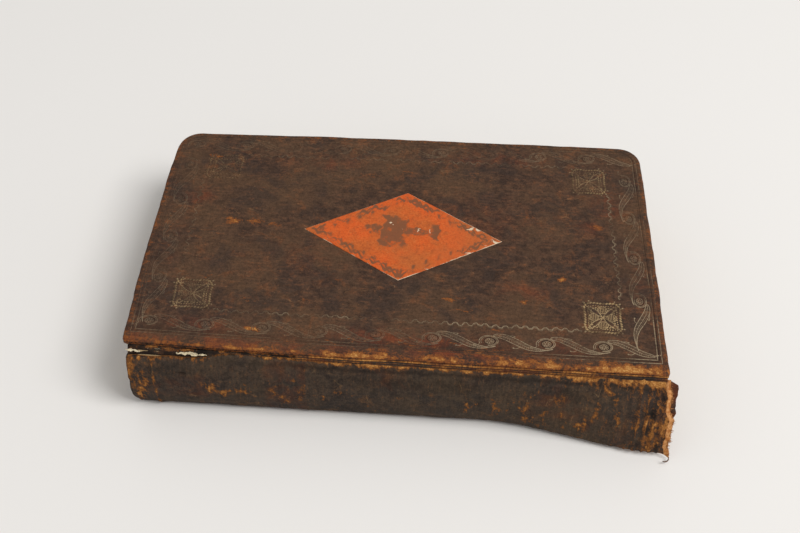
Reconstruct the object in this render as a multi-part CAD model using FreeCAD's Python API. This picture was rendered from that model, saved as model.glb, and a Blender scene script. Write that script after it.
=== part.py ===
import FreeCAD, Part
import math
import os

# Antique leather-bound book, lying closed on its back cover.
# X runs along the spine towards the tail, -Y is the spine side, +Y the fore-edge, +Z is up.
# The origin is the middle of the back cover's underside.
# Both covers are drawn with the outer face at z = 0 and the inner face above it.
# The back cover stays there and the front cover is mirrored to the top of the book.

# Boards and what covers them
board_length = 166.0
board_width = 101.0
spine_side_reach = 50.0
fore_edge_lean = 0.018
board_thickness = 2.4
leather_thickness = 0.8
edge_round = 1.2
inner_edge_bevel = 0.4
fore_corner_radius = 8.0
front_spine_corner_radius = 1.5
back_spine_corner_radius = 3.0
turn_in = 7.0
pastedown_thickness = 0.3
pastedown_corner_radius = 1.0
front_lip_height = 2.3
back_lip_height = 1.5
cover_gap = 0.2

# Text block, its folded endpapers and its sewing
pages_thickness = 21.6
flyleaf_thickness = 0.25
square = 3.0
shoulder_inset = 1.0
spine_bulge = 2.2
fore_edge_hollow = 1.2
cord_count = 5
cord_radius = 1.0
cord_clearance = 0.1
cord_end_margin = 26.0
rod_sides = 6
lining_thickness = 0.4
lining_end_margin = 1.5
endband_radius = 0.8
endband_inset = 0.4

# Spine leather: cracked at the front joint, split open at the head, flared at the tail
spine_leather_thickness = 1.1
glue_line = 0.1
joint_crack = 0.4
bevel_height = 0.4
edge_wall = 0.9
lower_edge_wall = 1.1
head_set_in = 0.7
head_corner_radius = 5.5
split_length = 24.5
split_slope = 7.0
split_drop = 2.4
head_cap_thickness = 0.6
head_cap_depth = 1.5
flare_start = 56.0
flare_reach = 9.0
flare_drop = 0.3
flare_mid_share = 0.38
flare_low_share = 0.9
torn_reach = 4.4
torn_tip_length = 3.0
torn_tip_reach = 2.2
torn_tip_drop = 0.8
flap_thickness = 0.6
rib_width = 1.6
rib_height = 0.35
head_rib_insets = (1.9, 8.1)
mid_rib_inset = 55.1
tail_rib_insets = (0.9, 5.0, 8.2)
slit_inset = 17.0
slit_length = 2.6
slit_height = 0.8

# Blind tooling of the front cover
tool_depth = 0.25
line_width = 0.5
fillet_insets = (2.2, 3.6)
fillet_spine_shift = 1.6
zigzag_end_inset = 13.1
zigzag_spine_inset = 15.0
zigzag_fore_inset = 12.0
zigzag_period = 6.8
zigzag_swing = 0.8
block_size_x = 13.0
block_size_y = 14.0
block_leaf_width = 1.3
block_leaf_steps = 3
rosette_radius = 1.5
rosette_petals = 4
band_end_inset = 7.0
band_spine_inset = 8.8
band_fore_inset = 7.0
scroll_radius = 2.8
scroll_line = 0.7
scroll_steps = 6
vine_steps = 4
vine_width = 1.4
vine_gap = 0.4
long_scroll_pitch = 17.3
long_scroll_start = 12.4
short_scroll_pitch = 18.3
short_scroll_start = 10.9

# Lozenge of orange leather let into the front cover
lozenge_length = 66.0
lozenge_width = 40.8
lozenge_x = -0.2
lozenge_y = 2.1
lozenge_turn = -1.5
lozenge_thickness = 0.3
lozenge_recess = 0.2
lozenge_border_inset = 2.4
lozenge_tool_depth = 0.1

# Levels and places that follow from the sizes above
cover_depth = leather_thickness + board_thickness + pastedown_thickness
pages_bottom = cover_depth + cover_gap + flyleaf_thickness
pages_top = pages_bottom + pages_thickness
book_thickness = pages_top + pages_bottom
middle_z = book_thickness / 2
spine_edge = -spine_side_reach
fore_edge = board_width - spine_side_reach
board_end = board_length / 2
board_spine_edge = spine_edge + leather_thickness
block_end = board_end - square
block_fore_edge = fore_edge - square
shoulder = spine_edge + shoulder_inset
half_pages = pages_thickness / 2
spine_radius = (half_pages ** 2 + spine_bulge ** 2) / (2 * spine_bulge)
spine_axis_y = shoulder - spine_bulge + spine_radius
leather_inner_radius = spine_radius + lining_thickness + glue_line
upper_joint = book_thickness - front_lip_height - joint_crack
lower_joint = back_lip_height + joint_crack
head_end = -board_end + head_set_in
split_end = head_end + split_length
tail_end = board_end + torn_reach
tip_start = tail_end - torn_tip_length
flare_from = board_end - flare_start
through = 2.0


def vec(x, y, z=0.0):
    return FreeCAD.Vector(x, y, z)


def slab(wire, bottom, top):
    # A flat outline drawn at z = 0, as a plate between two levels
    plate = Part.Face(wire).extrude(vec(0, 0, top - bottom))
    plate.translate(vec(0, 0, bottom))
    return plate


def box(x0, x1, y0, y1, z0, z1):
    return Part.makeBox(x1 - x0, y1 - y0, z1 - z0, vec(x0, y0, z0))


def polygon(points):
    return Part.makePolygon(points + points[:1])


def placed(points, x, y, angle):
    # Points turned by an angle in degrees and moved to a place
    c = math.cos(math.radians(angle))
    s = math.sin(math.radians(angle))
    return [vec(x + c * p.x - s * p.y, y + s * p.x + c * p.y) for p in points]


def inner_radius(radius, inset):
    # An inset deeper than the corner's own radius leaves a sharp corner
    return max(radius - inset, 0.0)


def rounded_outline(x_end, y_spine, y_fore, spine_corner, fore_corner, lean=0.0):
    # Closed outline of straight sides joined by arcs; with a lean the fore-edge runs out towards the tail
    tilt = math.degrees(math.atan(lean))
    corners = [
        (x_end, y_fore, fore_corner, 0, 90 + tilt),
        (-x_end, y_fore, fore_corner, 90 + tilt, 180),
        (-x_end, y_spine, spine_corner, 180, 270),
        (x_end, y_spine, spine_corner, 270, 360),
    ]
    arcs = []
    for x, y, radius, start, end in corners:
        centre = vec(x - math.copysign(radius, x), y + radius)
        if y == y_fore:
            centre.y = y + lean * centre.x - radius / math.cos(math.radians(tilt))
        turns = [math.radians(a) for a in (start, (start + end) / 2, end)]
        arcs.append([centre + vec(math.cos(a), math.sin(a)) * radius for a in turns])
    edges = []
    for number, arc in enumerate(arcs):
        if corners[number][2] > 0:
            edges.append(Part.Arc(arc[0], arc[1], arc[2]).toShape())
        following = arcs[(number + 1) % 4]
        edges.append(Part.makeLine(arc[2], following[0]))
    return Part.Wire(edges)


def board_outline(inset, spine_corner):
    return rounded_outline(
        board_end - inset,
        spine_edge + inset,
        fore_edge - inset,
        inner_radius(spine_corner, inset),
        inner_radius(fore_corner_radius, inset),
        fore_edge_lean,
    )


def pastedown_outline():
    return rounded_outline(
        board_end - turn_in,
        board_spine_edge,
        fore_edge - turn_in,
        0.0,
        pastedown_corner_radius,
        fore_edge_lean,
    )


def to_front(shape):
    # From the back cover's place to the front cover's
    return shape.mirror(vec(0, 0, middle_z), vec(0, 0, 1))


# Covers


def board(spine_corner):
    outline = board_outline(leather_thickness, spine_corner)
    return slab(outline, leather_thickness, leather_thickness + board_thickness)


def pastedown():
    return slab(pastedown_outline(), cover_depth - pastedown_thickness, cover_depth)


def cover_leather(spine_corner, lip_height, tooling):
    # Skin over the board, turned in on three sides and cut off below the lip at the joint
    skin = slab(board_outline(0.0, spine_corner), 0.0, cover_depth)
    outer = [edge for edge in skin.Edges if abs(edge.BoundBox.ZMax) < 0.01]
    skin = skin.makeFillet(edge_round, outer)
    inner = [edge for edge in skin.Edges if abs(edge.BoundBox.ZMin - cover_depth) < 0.01]
    skin = skin.makeChamfer(inner_edge_bevel, inner)
    below_lip = box(
        -board_end - through,
        board_end + through,
        spine_edge - through,
        board_spine_edge,
        lip_height,
        cover_depth + through,
    )
    return skin.cut([board(spine_corner), pastedown(), below_lip] + tooling)


# Tooling: every stamp is a flat figure pressed into the outer face


def stamp(points):
    return slab(polygon(points), -through, tool_depth)


def ring_stamp(outer, inner):
    return slab(outer, -through, tool_depth).cut(slab(inner, -through, tool_depth))


def fillet_line(inset, spine_corner):
    # A line that runs all round, a little further in along the joint
    wires = []
    for depth in (inset, inset + line_width):
        wire = rounded_outline(
            board_end - depth,
            spine_edge + depth + fillet_spine_shift,
            fore_edge - depth,
            inner_radius(spine_corner, depth),
            inner_radius(fore_corner_radius, depth),
            fore_edge_lean,
        )
        wires.append(wire)
    return ring_stamp(wires[0], wires[1])


def zigzag_line(x0, y0, x1, y1):
    length = math.hypot(x1 - x0, y1 - y0)
    count = 2 * round(length / zigzag_period)
    upper = []
    lower = []
    for number in range(count + 1):
        swing = zigzag_swing * (-1) ** number
        upper.append(vec(length * number / count, swing + line_width / 2))
        lower.append(vec(length * number / count, swing - line_width / 2))
    angle = math.degrees(math.atan2(y1 - y0, x1 - x0))
    return stamp(placed(lower + upper[::-1], x0, y0, angle))


def leaf(x, y, angle, length, width):
    # A pointed leaf that starts at x, y
    sides = []
    for side in (1, -1):
        for number in range(block_leaf_steps):
            gone = number / block_leaf_steps
            share = gone if side == 1 else 1 - gone
            sides.append(vec(length * share, side * width / 2 * math.sin(math.pi * share)))
    return stamp(placed(sides, x, y, angle))


def rosette(x, y):
    points = []
    for number in range(2 * rosette_petals):
        radius = rosette_radius * (1.0 if number % 2 == 0 else 0.65)
        turn = math.pi * number / rosette_petals
        points.append(vec(radius * math.cos(turn), radius * math.sin(turn)))
    return stamp(placed(points, x, y, 0))


def curl(x, y, angle, side):
    # An open ring that winds inwards round a rosette
    outer = []
    inner = []
    for number in range(scroll_steps + 1):
        turn = math.radians(-60 + 280 * number / scroll_steps)
        reach = scroll_radius * (1 - 0.12 * number / scroll_steps)
        outer.append(vec(reach * math.cos(turn), side * reach * math.sin(turn)))
        reach = reach - scroll_line
        inner.append(vec(reach * math.cos(turn), side * reach * math.sin(turn)))
    return stamp(placed(outer + inner[::-1], x, y, angle))


def vine(x, y, angle, side, pitch):
    # A long leaf that swings across the band from one curl to the next
    first = scroll_radius + vine_gap
    last = pitch - scroll_radius - vine_gap
    upper = []
    lower = []
    for number in range(vine_steps + 1):
        share = number / vine_steps
        middle = side * scroll_radius * math.cos(math.pi * share)
        half = vine_width / 2 * math.sin(math.pi * share)
        along = first + (last - first) * share
        if 0 < number < vine_steps:
            upper.append(vec(along, middle + half))
            lower.append(vec(along, middle - half))
        else:
            upper.append(vec(along, middle))
    return stamp(placed(upper + lower[::-1], x, y, angle))


def scroll_row(x0, y0, angle, length, start, pitch):
    # Curls on alternate sides of the band, joined by leaves
    stamps = [rosette(x0, y0)]
    count = 1 + int((length - start - scroll_radius) / pitch)
    for number in range(count):
        side = 1 if number % 2 == 0 else -1
        place = placed([vec(start + number * pitch, 0)], x0, y0, angle)[0]
        stamps += [curl(place.x, place.y, angle, side), rosette(place.x, place.y)]
        if number < count - 1:
            stamps.append(vine(place.x, place.y, angle, side, pitch))
    return stamps


def corner_block(x, y):
    # A square of four leaves and four rosettes
    half_x = block_size_x / 2
    half_y = block_size_y / 2
    frame_outer = rounded_outline(half_x, -half_y, half_y, 0.0, 0.0)
    frame_inner = rounded_outline(half_x - line_width, line_width - half_y, half_y - line_width, 0.0, 0.0)
    frame = ring_stamp(frame_outer, frame_inner)
    frame.translate(vec(x, y))
    stamps = [frame]
    length = math.hypot(half_x, half_y) - 2 * line_width - block_leaf_width
    for number in range(4):
        angle = 45 + 90 * number
        start = placed([vec(block_leaf_width / 2, 0)], x, y, angle)[0]
        stamps.append(leaf(start.x, start.y, angle, length, block_leaf_width))
    for side in (1, -1):
        stamps.append(rosette(x + side * (half_x / 2 + line_width), y))
        stamps.append(rosette(x, y + side * (half_y / 2 + line_width)))
    return stamps


def front_tooling():
    stamps = [fillet_line(inset, front_spine_corner_radius) for inset in fillet_insets]
    x_line = board_end - zigzag_end_inset
    y_near = spine_edge + zigzag_spine_inset
    y_far = fore_edge - zigzag_fore_inset
    for y in (y_near, y_far):
        stamps.append(zigzag_line(block_size_x + line_width - x_line, y, x_line - block_size_x - line_width, y))
    for x in (-x_line, x_line):
        stamps.append(zigzag_line(x, y_near + block_size_y + line_width, x, y_far - block_size_y - line_width))
        for y, side in ((y_near, 1), (y_far, -1)):
            centre_x = x - math.copysign(block_size_x / 2, x)
            stamps += corner_block(centre_x, y + side * block_size_y / 2)
    x_band = board_end - band_end_inset
    y_low = spine_edge + band_spine_inset
    y_high = fore_edge - band_fore_inset
    long_way = 2 * x_band
    short_way = y_high - y_low
    stamps += scroll_row(x_band, y_low, 180, long_way, long_scroll_start, long_scroll_pitch)
    stamps += scroll_row(-x_band, y_high, 0, long_way, long_scroll_start, long_scroll_pitch)
    stamps += scroll_row(x_band, y_high, 270, short_way, short_scroll_start, short_scroll_pitch)
    stamps += scroll_row(-x_band, y_low, 90, short_way, short_scroll_start, short_scroll_pitch)
    return stamps


def back_tooling():
    return [fillet_line(inset, back_spine_corner_radius) for inset in fillet_insets]


def lozenge_points(inset):
    # Corners of the lozenge, moved in so that every side keeps its distance
    half_x = lozenge_length / 2
    half_y = lozenge_width / 2
    share = 1 - inset * math.hypot(half_x, half_y) / (half_x * half_y)
    tips = [vec(half_x, 0), vec(0, half_y), vec(-half_x, 0), vec(0, -half_y)]
    return placed([tip * share for tip in tips], lozenge_x, lozenge_y, lozenge_turn)


def lozenge_recess_cut():
    return slab(polygon(lozenge_points(0.0)), -through, lozenge_recess)


def cover_lozenge():
    # Thin onlay with a border line and a small four-leaf device in the middle
    outer_face = lozenge_recess - lozenge_thickness
    plate = slab(polygon(lozenge_points(0.0)), outer_face, lozenge_recess)
    lift = outer_face + lozenge_tool_depth - tool_depth
    border = ring_stamp(
        polygon(lozenge_points(lozenge_border_inset)),
        polygon(lozenge_points(lozenge_border_inset + line_width)),
    )
    figures = [border]
    for number in range(4):
        angle = lozenge_turn + 90 * number
        start = placed([vec(rosette_radius, 0)], lozenge_x, lozenge_y, angle)[0]
        figures.append(leaf(start.x, start.y, angle, 3 * rosette_radius, block_leaf_width))
    for figure in figures:
        figure.translate(vec(0, 0, lift))
    return plate.cut(figures)


# Text block


def arc_y(radius, z):
    # Where a curve round the spine's axis lies at a level
    return spine_axis_y - math.sqrt(radius ** 2 - (z - middle_z) ** 2)


def spine_arc(radius, z0, z1):
    points = [vec(0, arc_y(radius, z), z) for z in (z0, (z0 + z1) / 2, z1)]
    return Part.Arc(points[0], points[1], points[2]).toShape()


def along_spine(edges, x0, x1):
    # A section across the book, drawn out along the spine
    solid = Part.Face(Part.Wire(edges)).extrude(vec(x1 - x0, 0, 0))
    solid.translate(vec(x0, 0, 0))
    return solid


def bent_rod(x, radius, rod_radius, half_height):
    # A thin rod, drawn with a few sides, that follows the spine's curve from shoulder to shoulder
    reach = math.degrees(math.asin(half_height / radius))
    axis = vec(x, spine_axis_y, middle_z)
    start = vec(0, -math.cos(math.radians(reach)), -math.sin(math.radians(reach)))
    corners = []
    for number in range(rod_sides):
        turn = 2 * math.pi * (number + 0.5) / rod_sides
        across = vec(rod_radius * math.sin(turn), 0)
        corners.append(axis + start * (radius + rod_radius * math.cos(turn)) + across)
    section = Part.Face(polygon(corners))
    return section.revolve(axis, vec(-1, 0, 0), 2 * reach)


def cord_places():
    first = -block_end + cord_end_margin
    pitch = 2 * (block_end - cord_end_margin) / (cord_count - 1)
    return [first + number * pitch for number in range(cord_count)]


def saw_kerf(x):
    # A square groove sawn across the rounded spine, a little wider and deeper than the cord
    half_width = cord_radius + cord_clearance
    centre = vec(x - half_width, spine_axis_y, middle_z)
    outer = Part.makeCylinder(spine_radius + through, 2 * half_width, centre, vec(1, 0, 0))
    floor_radius = spine_radius - 2 * cord_radius - cord_clearance
    ring = outer.cut(Part.makeCylinder(floor_radius, 2 * half_width, centre, vec(1, 0, 0)))
    spine_side = box(
        x - half_width, x + half_width, spine_edge - 2 * spine_bulge, shoulder + 2 * cord_radius, 0, book_thickness
    )
    return ring.common(spine_side)


def sewing_cord(x):
    return bent_rod(x, spine_radius - cord_radius, cord_radius, half_pages - cord_radius)


def text_block():
    # Pages with a rounded spine, a hollow fore-edge and sawn grooves for the cords
    hollow = vec(0, block_fore_edge - fore_edge_hollow, middle_z)
    low = vec(0, block_fore_edge, pages_bottom)
    high = vec(0, block_fore_edge, pages_top)
    section = [
        spine_arc(spine_radius, pages_bottom, pages_top),
        Part.makeLine(vec(0, shoulder, pages_top), high),
        Part.Arc(high, hollow, low).toShape(),
        Part.makeLine(low, vec(0, shoulder, pages_bottom)),
    ]
    block = along_spine(section, -block_end, block_end)
    return block.cut([saw_kerf(x) for x in cord_places()])


def flyleaf():
    outline = rounded_outline(block_end, shoulder, block_fore_edge, 0.0, 0.0)
    return slab(outline, pages_bottom - flyleaf_thickness, pages_bottom)


def spine_lining():
    outer_radius = spine_radius + lining_thickness
    section = [
        spine_arc(spine_radius, pages_bottom, pages_top),
        Part.makeLine(vec(0, shoulder, pages_top), vec(0, arc_y(outer_radius, pages_top), pages_top)),
        spine_arc(outer_radius, pages_bottom, pages_top),
        Part.makeLine(vec(0, arc_y(outer_radius, pages_bottom), pages_bottom), vec(0, shoulder, pages_bottom)),
    ]
    reach = block_end - lining_end_margin
    return along_spine(section, -reach, reach)


def endband(side):
    centre_radius = spine_radius - endband_inset - endband_radius
    return bent_rod(side * (block_end + endband_radius), centre_radius, endband_radius, half_pages - endband_radius)


# Spine leather


def flare_share(x):
    # 0 where the leather still holds, 1 at the tail, with a smooth start and end
    share = (x - flare_from) / (tip_start - flare_from)
    share = min(max(share, 0.0), 1.0)
    return share * share * (3 - 2 * share)


def tip_share(x):
    return max(x - tip_start, 0.0) / torn_tip_length


def upper_edge(x):
    # The torn edge lies lower along the split at the head
    rise = min(max((x - split_end) / split_slope, 0.0), 1.0)
    return upper_joint - split_drop * (1 - rise)


def leather_section(x, wall, rib):
    # Inner side from the lower joint to the upper one, then the outer side back down
    top = upper_edge(x)
    bottom = lower_joint - flare_drop * flare_share(x) - torn_tip_drop * tip_share(x)
    spread = flare_reach * flare_share(x) + torn_tip_reach * tip_share(x)
    arc_top = min(pages_top, top - bevel_height)
    inner_top = arc_y(leather_inner_radius, arc_top)
    inner_low = arc_y(leather_inner_radius, pages_bottom)
    inner_mid = arc_y(leather_inner_radius, middle_z) - flare_mid_share * spread
    outer_share = wall / spine_leather_thickness
    a = vec(x, inner_low - spread, bottom)
    b = vec(x, inner_low - flare_low_share * spread, pages_bottom)
    c = vec(x, inner_top, arc_top)
    d = vec(x, inner_top, top)
    e = vec(x, inner_top - edge_wall * outer_share - rib, top - bevel_height / 2)
    f = vec(x, inner_low - spread - lower_edge_wall * outer_share - rib, bottom)
    inner = Part.Arc(b, vec(x, inner_mid, middle_z), c).toShape()
    outer = Part.Arc(e, vec(x, inner_mid - wall - rib, middle_z), f).toShape()
    lines = [Part.makeLine(c, d), Part.makeLine(d, e), Part.makeLine(f, a), Part.makeLine(a, b)]
    return Part.Wire([inner, lines[0], lines[1], outer, lines[2], lines[3]])


def leather_shell(stations, wall):
    wires = [leather_section(x, wall, rib) for x, rib in stations]
    return Part.makeLoft(wires, True, True)


def rib_places():
    head = [head_end + inset for inset in head_rib_insets + (mid_rib_inset,)]
    tail = [board_end - inset for inset in tail_rib_insets]
    return head + tail


def shell_stations():
    # Places along the spine where the section changes, with each raised rib as three of them
    plain = [head_end, split_end, split_end + split_slope, flare_from, tip_start, tail_end]
    steps = 7
    for number in range(1, steps):
        plain.append(flare_from + (tip_start - flare_from) * number / steps)
    ribs = rib_places()
    clear = [x for x in plain if all(abs(x - rib) > rib_width for rib in ribs)]
    stations = [(x, 0.0) for x in clear]
    for rib in ribs:
        stations += [(rib - rib_width / 2, 0.0), (rib, rib_height), (rib + rib_width / 2, 0.0)]
    return sorted(stations)


def lengthwise_cut(points):
    # What lies beyond a torn edge drawn in the side view, as a solid across the spine
    near = spine_edge - flare_reach - torn_tip_reach - 4 * spine_leather_thickness
    torn = Part.BSplineCurve()
    torn.interpolate([vec(x, near, z) for x, z in points])
    first = points[0]
    last = points[-1]
    far = tail_end + through
    lines = [
        Part.makeLine(vec(last[0], near, last[1]), vec(far, near, last[1])),
        Part.makeLine(vec(far, near, last[1]), vec(far, near, first[1])),
        Part.makeLine(vec(far, near, first[1]), vec(first[0], near, first[1])),
    ]
    face = Part.Face(Part.Wire([torn.toShape()] + lines))
    return face.extrude(vec(0, spine_axis_y - near, 0))


def torn_tail():
    # The lost tail cap left an uneven edge that reaches furthest at the foot
    top = book_thickness
    points = [
        (tail_end - 4.0, top),
        (tail_end - 2.8, upper_joint - 3.6),
        (tail_end - 2.4, upper_joint - 9.4),
        (tail_end - 1.1, upper_joint - 12.2),
        (tail_end - 1.5, upper_joint - 18.0),
        (tail_end - 1.4, lower_joint + 2.4),
        (tail_end - 0.2, lower_joint - 2.0),
    ]
    return lengthwise_cut(points)


def torn_flap():
    # What is left of the leather that was folded in round the tail
    points = [
        (tail_end - 4.2, upper_joint - 1.0),
        (tail_end - 0.9, upper_joint - 2.2),
        (tail_end - 0.6, upper_joint - 4.6),
        (tail_end - 1.1, upper_joint - 6.6),
        (tail_end - 0.6, upper_joint - 11.0),
        (tail_end - 4.2, upper_joint - 13.5),
    ]
    return points


def head_cap():
    # Leather folded in over the end of the spine at the head
    cap_x = head_end
    low = pages_bottom + endband_radius
    high = upper_joint - split_drop - 2 * bevel_height
    outer_radius = leather_inner_radius + glue_line
    inner_arc_radius = leather_inner_radius - head_cap_depth
    corners = [
        vec(0, arc_y(outer_radius, high), high),
        vec(0, arc_y(inner_arc_radius, high), high),
        vec(0, arc_y(inner_arc_radius, low), low),
        vec(0, arc_y(outer_radius, low), low),
    ]
    section = [
        spine_arc(outer_radius, low, high),
        Part.makeLine(corners[0], corners[1]),
        spine_arc(inner_arc_radius, low, high),
        Part.makeLine(corners[2], corners[3]),
    ]
    return along_spine(section, cap_x, cap_x + head_cap_thickness)


def head_corner_cut():
    # The worn corner at the foot of the spine's head end
    radius = head_corner_radius
    near = spine_edge - flare_reach
    corner = box(head_end - through, head_end + radius, near, spine_axis_y, -through, lower_joint + radius)
    centre = vec(head_end + radius, near, lower_joint + radius)
    round_part = Part.makeCylinder(radius, spine_axis_y - near, centre, vec(0, 1, 0))
    return corner.cut(round_part)


def spine_slit():
    # A small hole worn through near the head
    x = head_end + slit_inset
    z = upper_joint - 8.0
    slit = Part.makeCylinder(slit_height / 2, 3 * spine_bulge, vec(0, spine_edge - 3 * spine_bulge, 0), vec(0, 1, 0))
    stretch = FreeCAD.Matrix()
    stretch.scale(slit_length / slit_height, 1, 1)
    slit = slit.transformGeometry(stretch)
    slit.translate(vec(x, 0, z))
    return slit


def spine_leather():
    stations = shell_stations()
    shell = leather_shell(stations, spine_leather_thickness)
    flap_stations = [station for station in stations if station[0] > tip_start - 0.01]
    flap = leather_shell(flap_stations, flap_thickness)
    flap_points = torn_flap()
    keep = Part.Face(Part.makePolygon([vec(x, 0, z) for x, z in flap_points + flap_points[:1]]))
    keep = keep.extrude(vec(0, 2 * spine_edge, 0))
    flap = flap.common(keep)
    shell = shell.cut([torn_tail(), head_corner_cut(), spine_slit()])
    return shell.fuse([flap, head_cap()]).removeSplitter()


def write(name, shape):
    solids = shape.Solids
    valid = shape.isValid()
    print(name, "solids", len(solids), "valid", valid, "volume", round(shape.Volume, 2))
    result = solids[0] if len(solids) == 1 else Part.makeCompound(solids)
    result.exportStep("parts/" + name + ".step")


def main():
    os.makedirs("parts", exist_ok=True)
    write("text_block", text_block())
    write("back_flyleaf", flyleaf())
    write("front_flyleaf", to_front(flyleaf()))
    write("spine_lining", spine_lining())
    for number, x in enumerate(cord_places()):
        write("sewing_cord_" + str(number + 1), sewing_cord(x))
    write("head_endband", endband(-1))
    write("tail_endband", endband(1))
    write("spine_leather", spine_leather())
    write("back_board", board(back_spine_corner_radius))
    write("back_pastedown", pastedown())
    write("back_cover_leather", cover_leather(back_spine_corner_radius, back_lip_height, back_tooling()))
    write("front_board", to_front(board(front_spine_corner_radius)))
    write("front_pastedown", to_front(pastedown()))
    tooling = front_tooling() + [lozenge_recess_cut()]
    write("front_cover_leather", to_front(cover_leather(front_spine_corner_radius, front_lip_height, tooling)))
    write("cover_lozenge", to_front(cover_lozenge()))


main()
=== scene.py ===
import bpy
import math
import numpy as np
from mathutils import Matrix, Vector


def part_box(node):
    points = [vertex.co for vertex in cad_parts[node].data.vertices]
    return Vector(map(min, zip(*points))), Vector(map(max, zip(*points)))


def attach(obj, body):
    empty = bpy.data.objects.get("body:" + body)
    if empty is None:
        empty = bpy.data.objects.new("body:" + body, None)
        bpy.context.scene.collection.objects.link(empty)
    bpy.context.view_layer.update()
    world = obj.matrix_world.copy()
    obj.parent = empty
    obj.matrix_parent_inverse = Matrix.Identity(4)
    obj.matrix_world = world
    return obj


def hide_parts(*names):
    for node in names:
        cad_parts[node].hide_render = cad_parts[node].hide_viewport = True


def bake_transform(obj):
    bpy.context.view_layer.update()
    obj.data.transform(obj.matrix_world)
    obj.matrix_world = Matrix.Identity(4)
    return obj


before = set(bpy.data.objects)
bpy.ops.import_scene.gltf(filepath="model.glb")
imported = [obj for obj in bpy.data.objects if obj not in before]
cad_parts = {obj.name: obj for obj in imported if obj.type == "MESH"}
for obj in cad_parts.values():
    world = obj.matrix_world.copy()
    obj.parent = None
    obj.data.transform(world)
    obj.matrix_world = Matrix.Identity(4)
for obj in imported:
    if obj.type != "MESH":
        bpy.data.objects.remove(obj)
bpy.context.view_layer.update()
print("stage: frame loaded")

# Shapes are worked out in millimetres and scaled to metres when a mesh is made
mm = 0.001


def nodeBox(name):
    low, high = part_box(name)
    return np.array(low) / mm, np.array(high) / mm


coverLow, coverHigh = nodeBox("front_cover_leather")
boardHigh = nodeBox("front_board")[1]
blockLow, blockHigh = nodeBox("text_block")
flyLow = nodeBox("front_flyleaf")[0]
liningLow = nodeBox("spine_lining")[0]
spineLow, spineHigh = nodeBox("spine_leather")
lozengeHigh = nodeBox("cover_lozenge")[1]
pasteLow, pasteHigh = nodeBox("front_pastedown")
halfLength = coverHigh[0]
spineEdge = coverLow[1]
foreEdge = 51.0  # at the middle of the length: it leans outwards to the tail
topLevel = coverHigh[2]
coverDepth = coverHigh[2] - coverLow[2]
skin = coverHigh[2] - boardHigh[2]
midLevel = topLevel / 2


# Plain helpers for noise, meshes and shader nodes


def softNoise(x, y, cell, seed):
    table = np.random.default_rng(seed).random((256, 256)) * 2 - 1
    u, v = x / cell, y / cell
    i, j = np.floor(u).astype(int), np.floor(v).astype(int)
    fu, fv = u - i, v - j
    fu, fv = fu * fu * (3 - 2 * fu), fv * fv * (3 - 2 * fv)
    i0, i1, j0, j1 = i % 256, (i + 1) % 256, j % 256, (j + 1) % 256
    low = table[i0, j0] * (1 - fu) + table[i1, j0] * fu
    high = table[i0, j1] * (1 - fu) + table[i1, j1] * fu
    return low * (1 - fv) + high * fv


def layeredNoise(x, y, cell, seed, layers=3):
    total = np.zeros(np.broadcast(x, y).shape)
    for layer in range(layers):
        total = total + softNoise(x, y, cell / 2 ** layer, seed + layer) / 2 ** layer
    return total


def softStep(value, low, high):
    share = np.clip((value - low) / (high - low), 0, 1)
    return share * share * (3 - 2 * share)


def spotField(x, y, spots, seed):
    # Soft blots at chosen places, with uneven rims: each is x, y, reach in x, reach in y, strength
    wobbleX = x + 1.2 * layeredNoise(x, y, 3.5, seed)
    wobbleY = y + 1.2 * layeredNoise(x, y, 3.5, seed + 7)
    total = np.zeros(np.shape(x))
    for spotX, spotY, reachX, reachY, strength in spots:
        far = ((wobbleX - spotX) / reachX) ** 2 + ((wobbleY - spotY) / reachY) ** 2
        total = np.maximum(total, strength * np.exp(-far))
    return total


def gridFaces(rows, columns, first=0, flip=False):
    # Quads of a grid whose vertices run column by column inside each row
    r, c = np.meshgrid(np.arange(rows - 1), np.arange(columns - 1), indexing="ij")
    a = first + r * columns + c
    quads = np.stack([a, a + 1, a + columns + 1, a + columns], -1).reshape(-1, 4)
    return (quads[:, ::-1] if flip else quads).tolist()


def bandFaces(firstRing, secondRing):
    # Quads between two rings of vertex numbers of the same count
    count = len(firstRing)
    faces = []
    for i in range(count):
        j = (i + 1) % count
        faces.append([firstRing[i], firstRing[j], secondRing[j], secondRing[i]])
    return faces


def rimRing(rows, columns):
    # Vertex numbers once round the edge of a grid
    ring = [r * columns for r in range(rows)] + [(rows - 1) * columns + k for k in range(1, columns)]
    return ring + [r * columns + columns - 1 for r in range(rows - 2, -1, -1)] + list(range(columns - 2, 0, -1))


def unitGrid(rows, columns):
    return np.meshgrid(np.linspace(0, 1, rows), np.linspace(0, 1, columns), indexing="ij")


def finerPath(path, fewest, step=1.2):
    # Points at even steps between the path's own points, without the last one
    points = []
    for (xa, ya), (xb, yb) in zip(path, path[1:]):
        count = max(fewest, int(math.hypot(xb - xa, yb - ya) / step))
        points += [(xa + (xb - xa) * k / count, ya + (yb - ya) * k / count) for k in range(count)]
    return points


def floatLayer(mesh, name, numbers):
    mesh.attributes.new(name, "FLOAT", "POINT").data.foreach_set("value", np.asarray(numbers, np.float32).ravel())


def vectorLayer(mesh, name, numbers):
    layer = mesh.attributes.new(name, "FLOAT_VECTOR", "POINT")
    layer.data.foreach_set("vector", np.asarray(numbers, np.float32).ravel())


def addObject(name, data):
    piece = bpy.data.objects.new(name, data)
    bpy.context.scene.collection.objects.link(piece)
    return piece


def makePiece(name, points, faces, material, values, smooth=True):
    mesh = bpy.data.meshes.new(name)
    mesh.from_pydata((np.asarray(points, float) * mm).tolist(), [], faces)
    for key, numbers in values.items():
        floatLayer(mesh, key, numbers)
    mesh.polygons.foreach_set("use_smooth", [smooth] * len(mesh.polygons))
    mesh.materials.append(material)
    return addObject(name, mesh)


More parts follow.
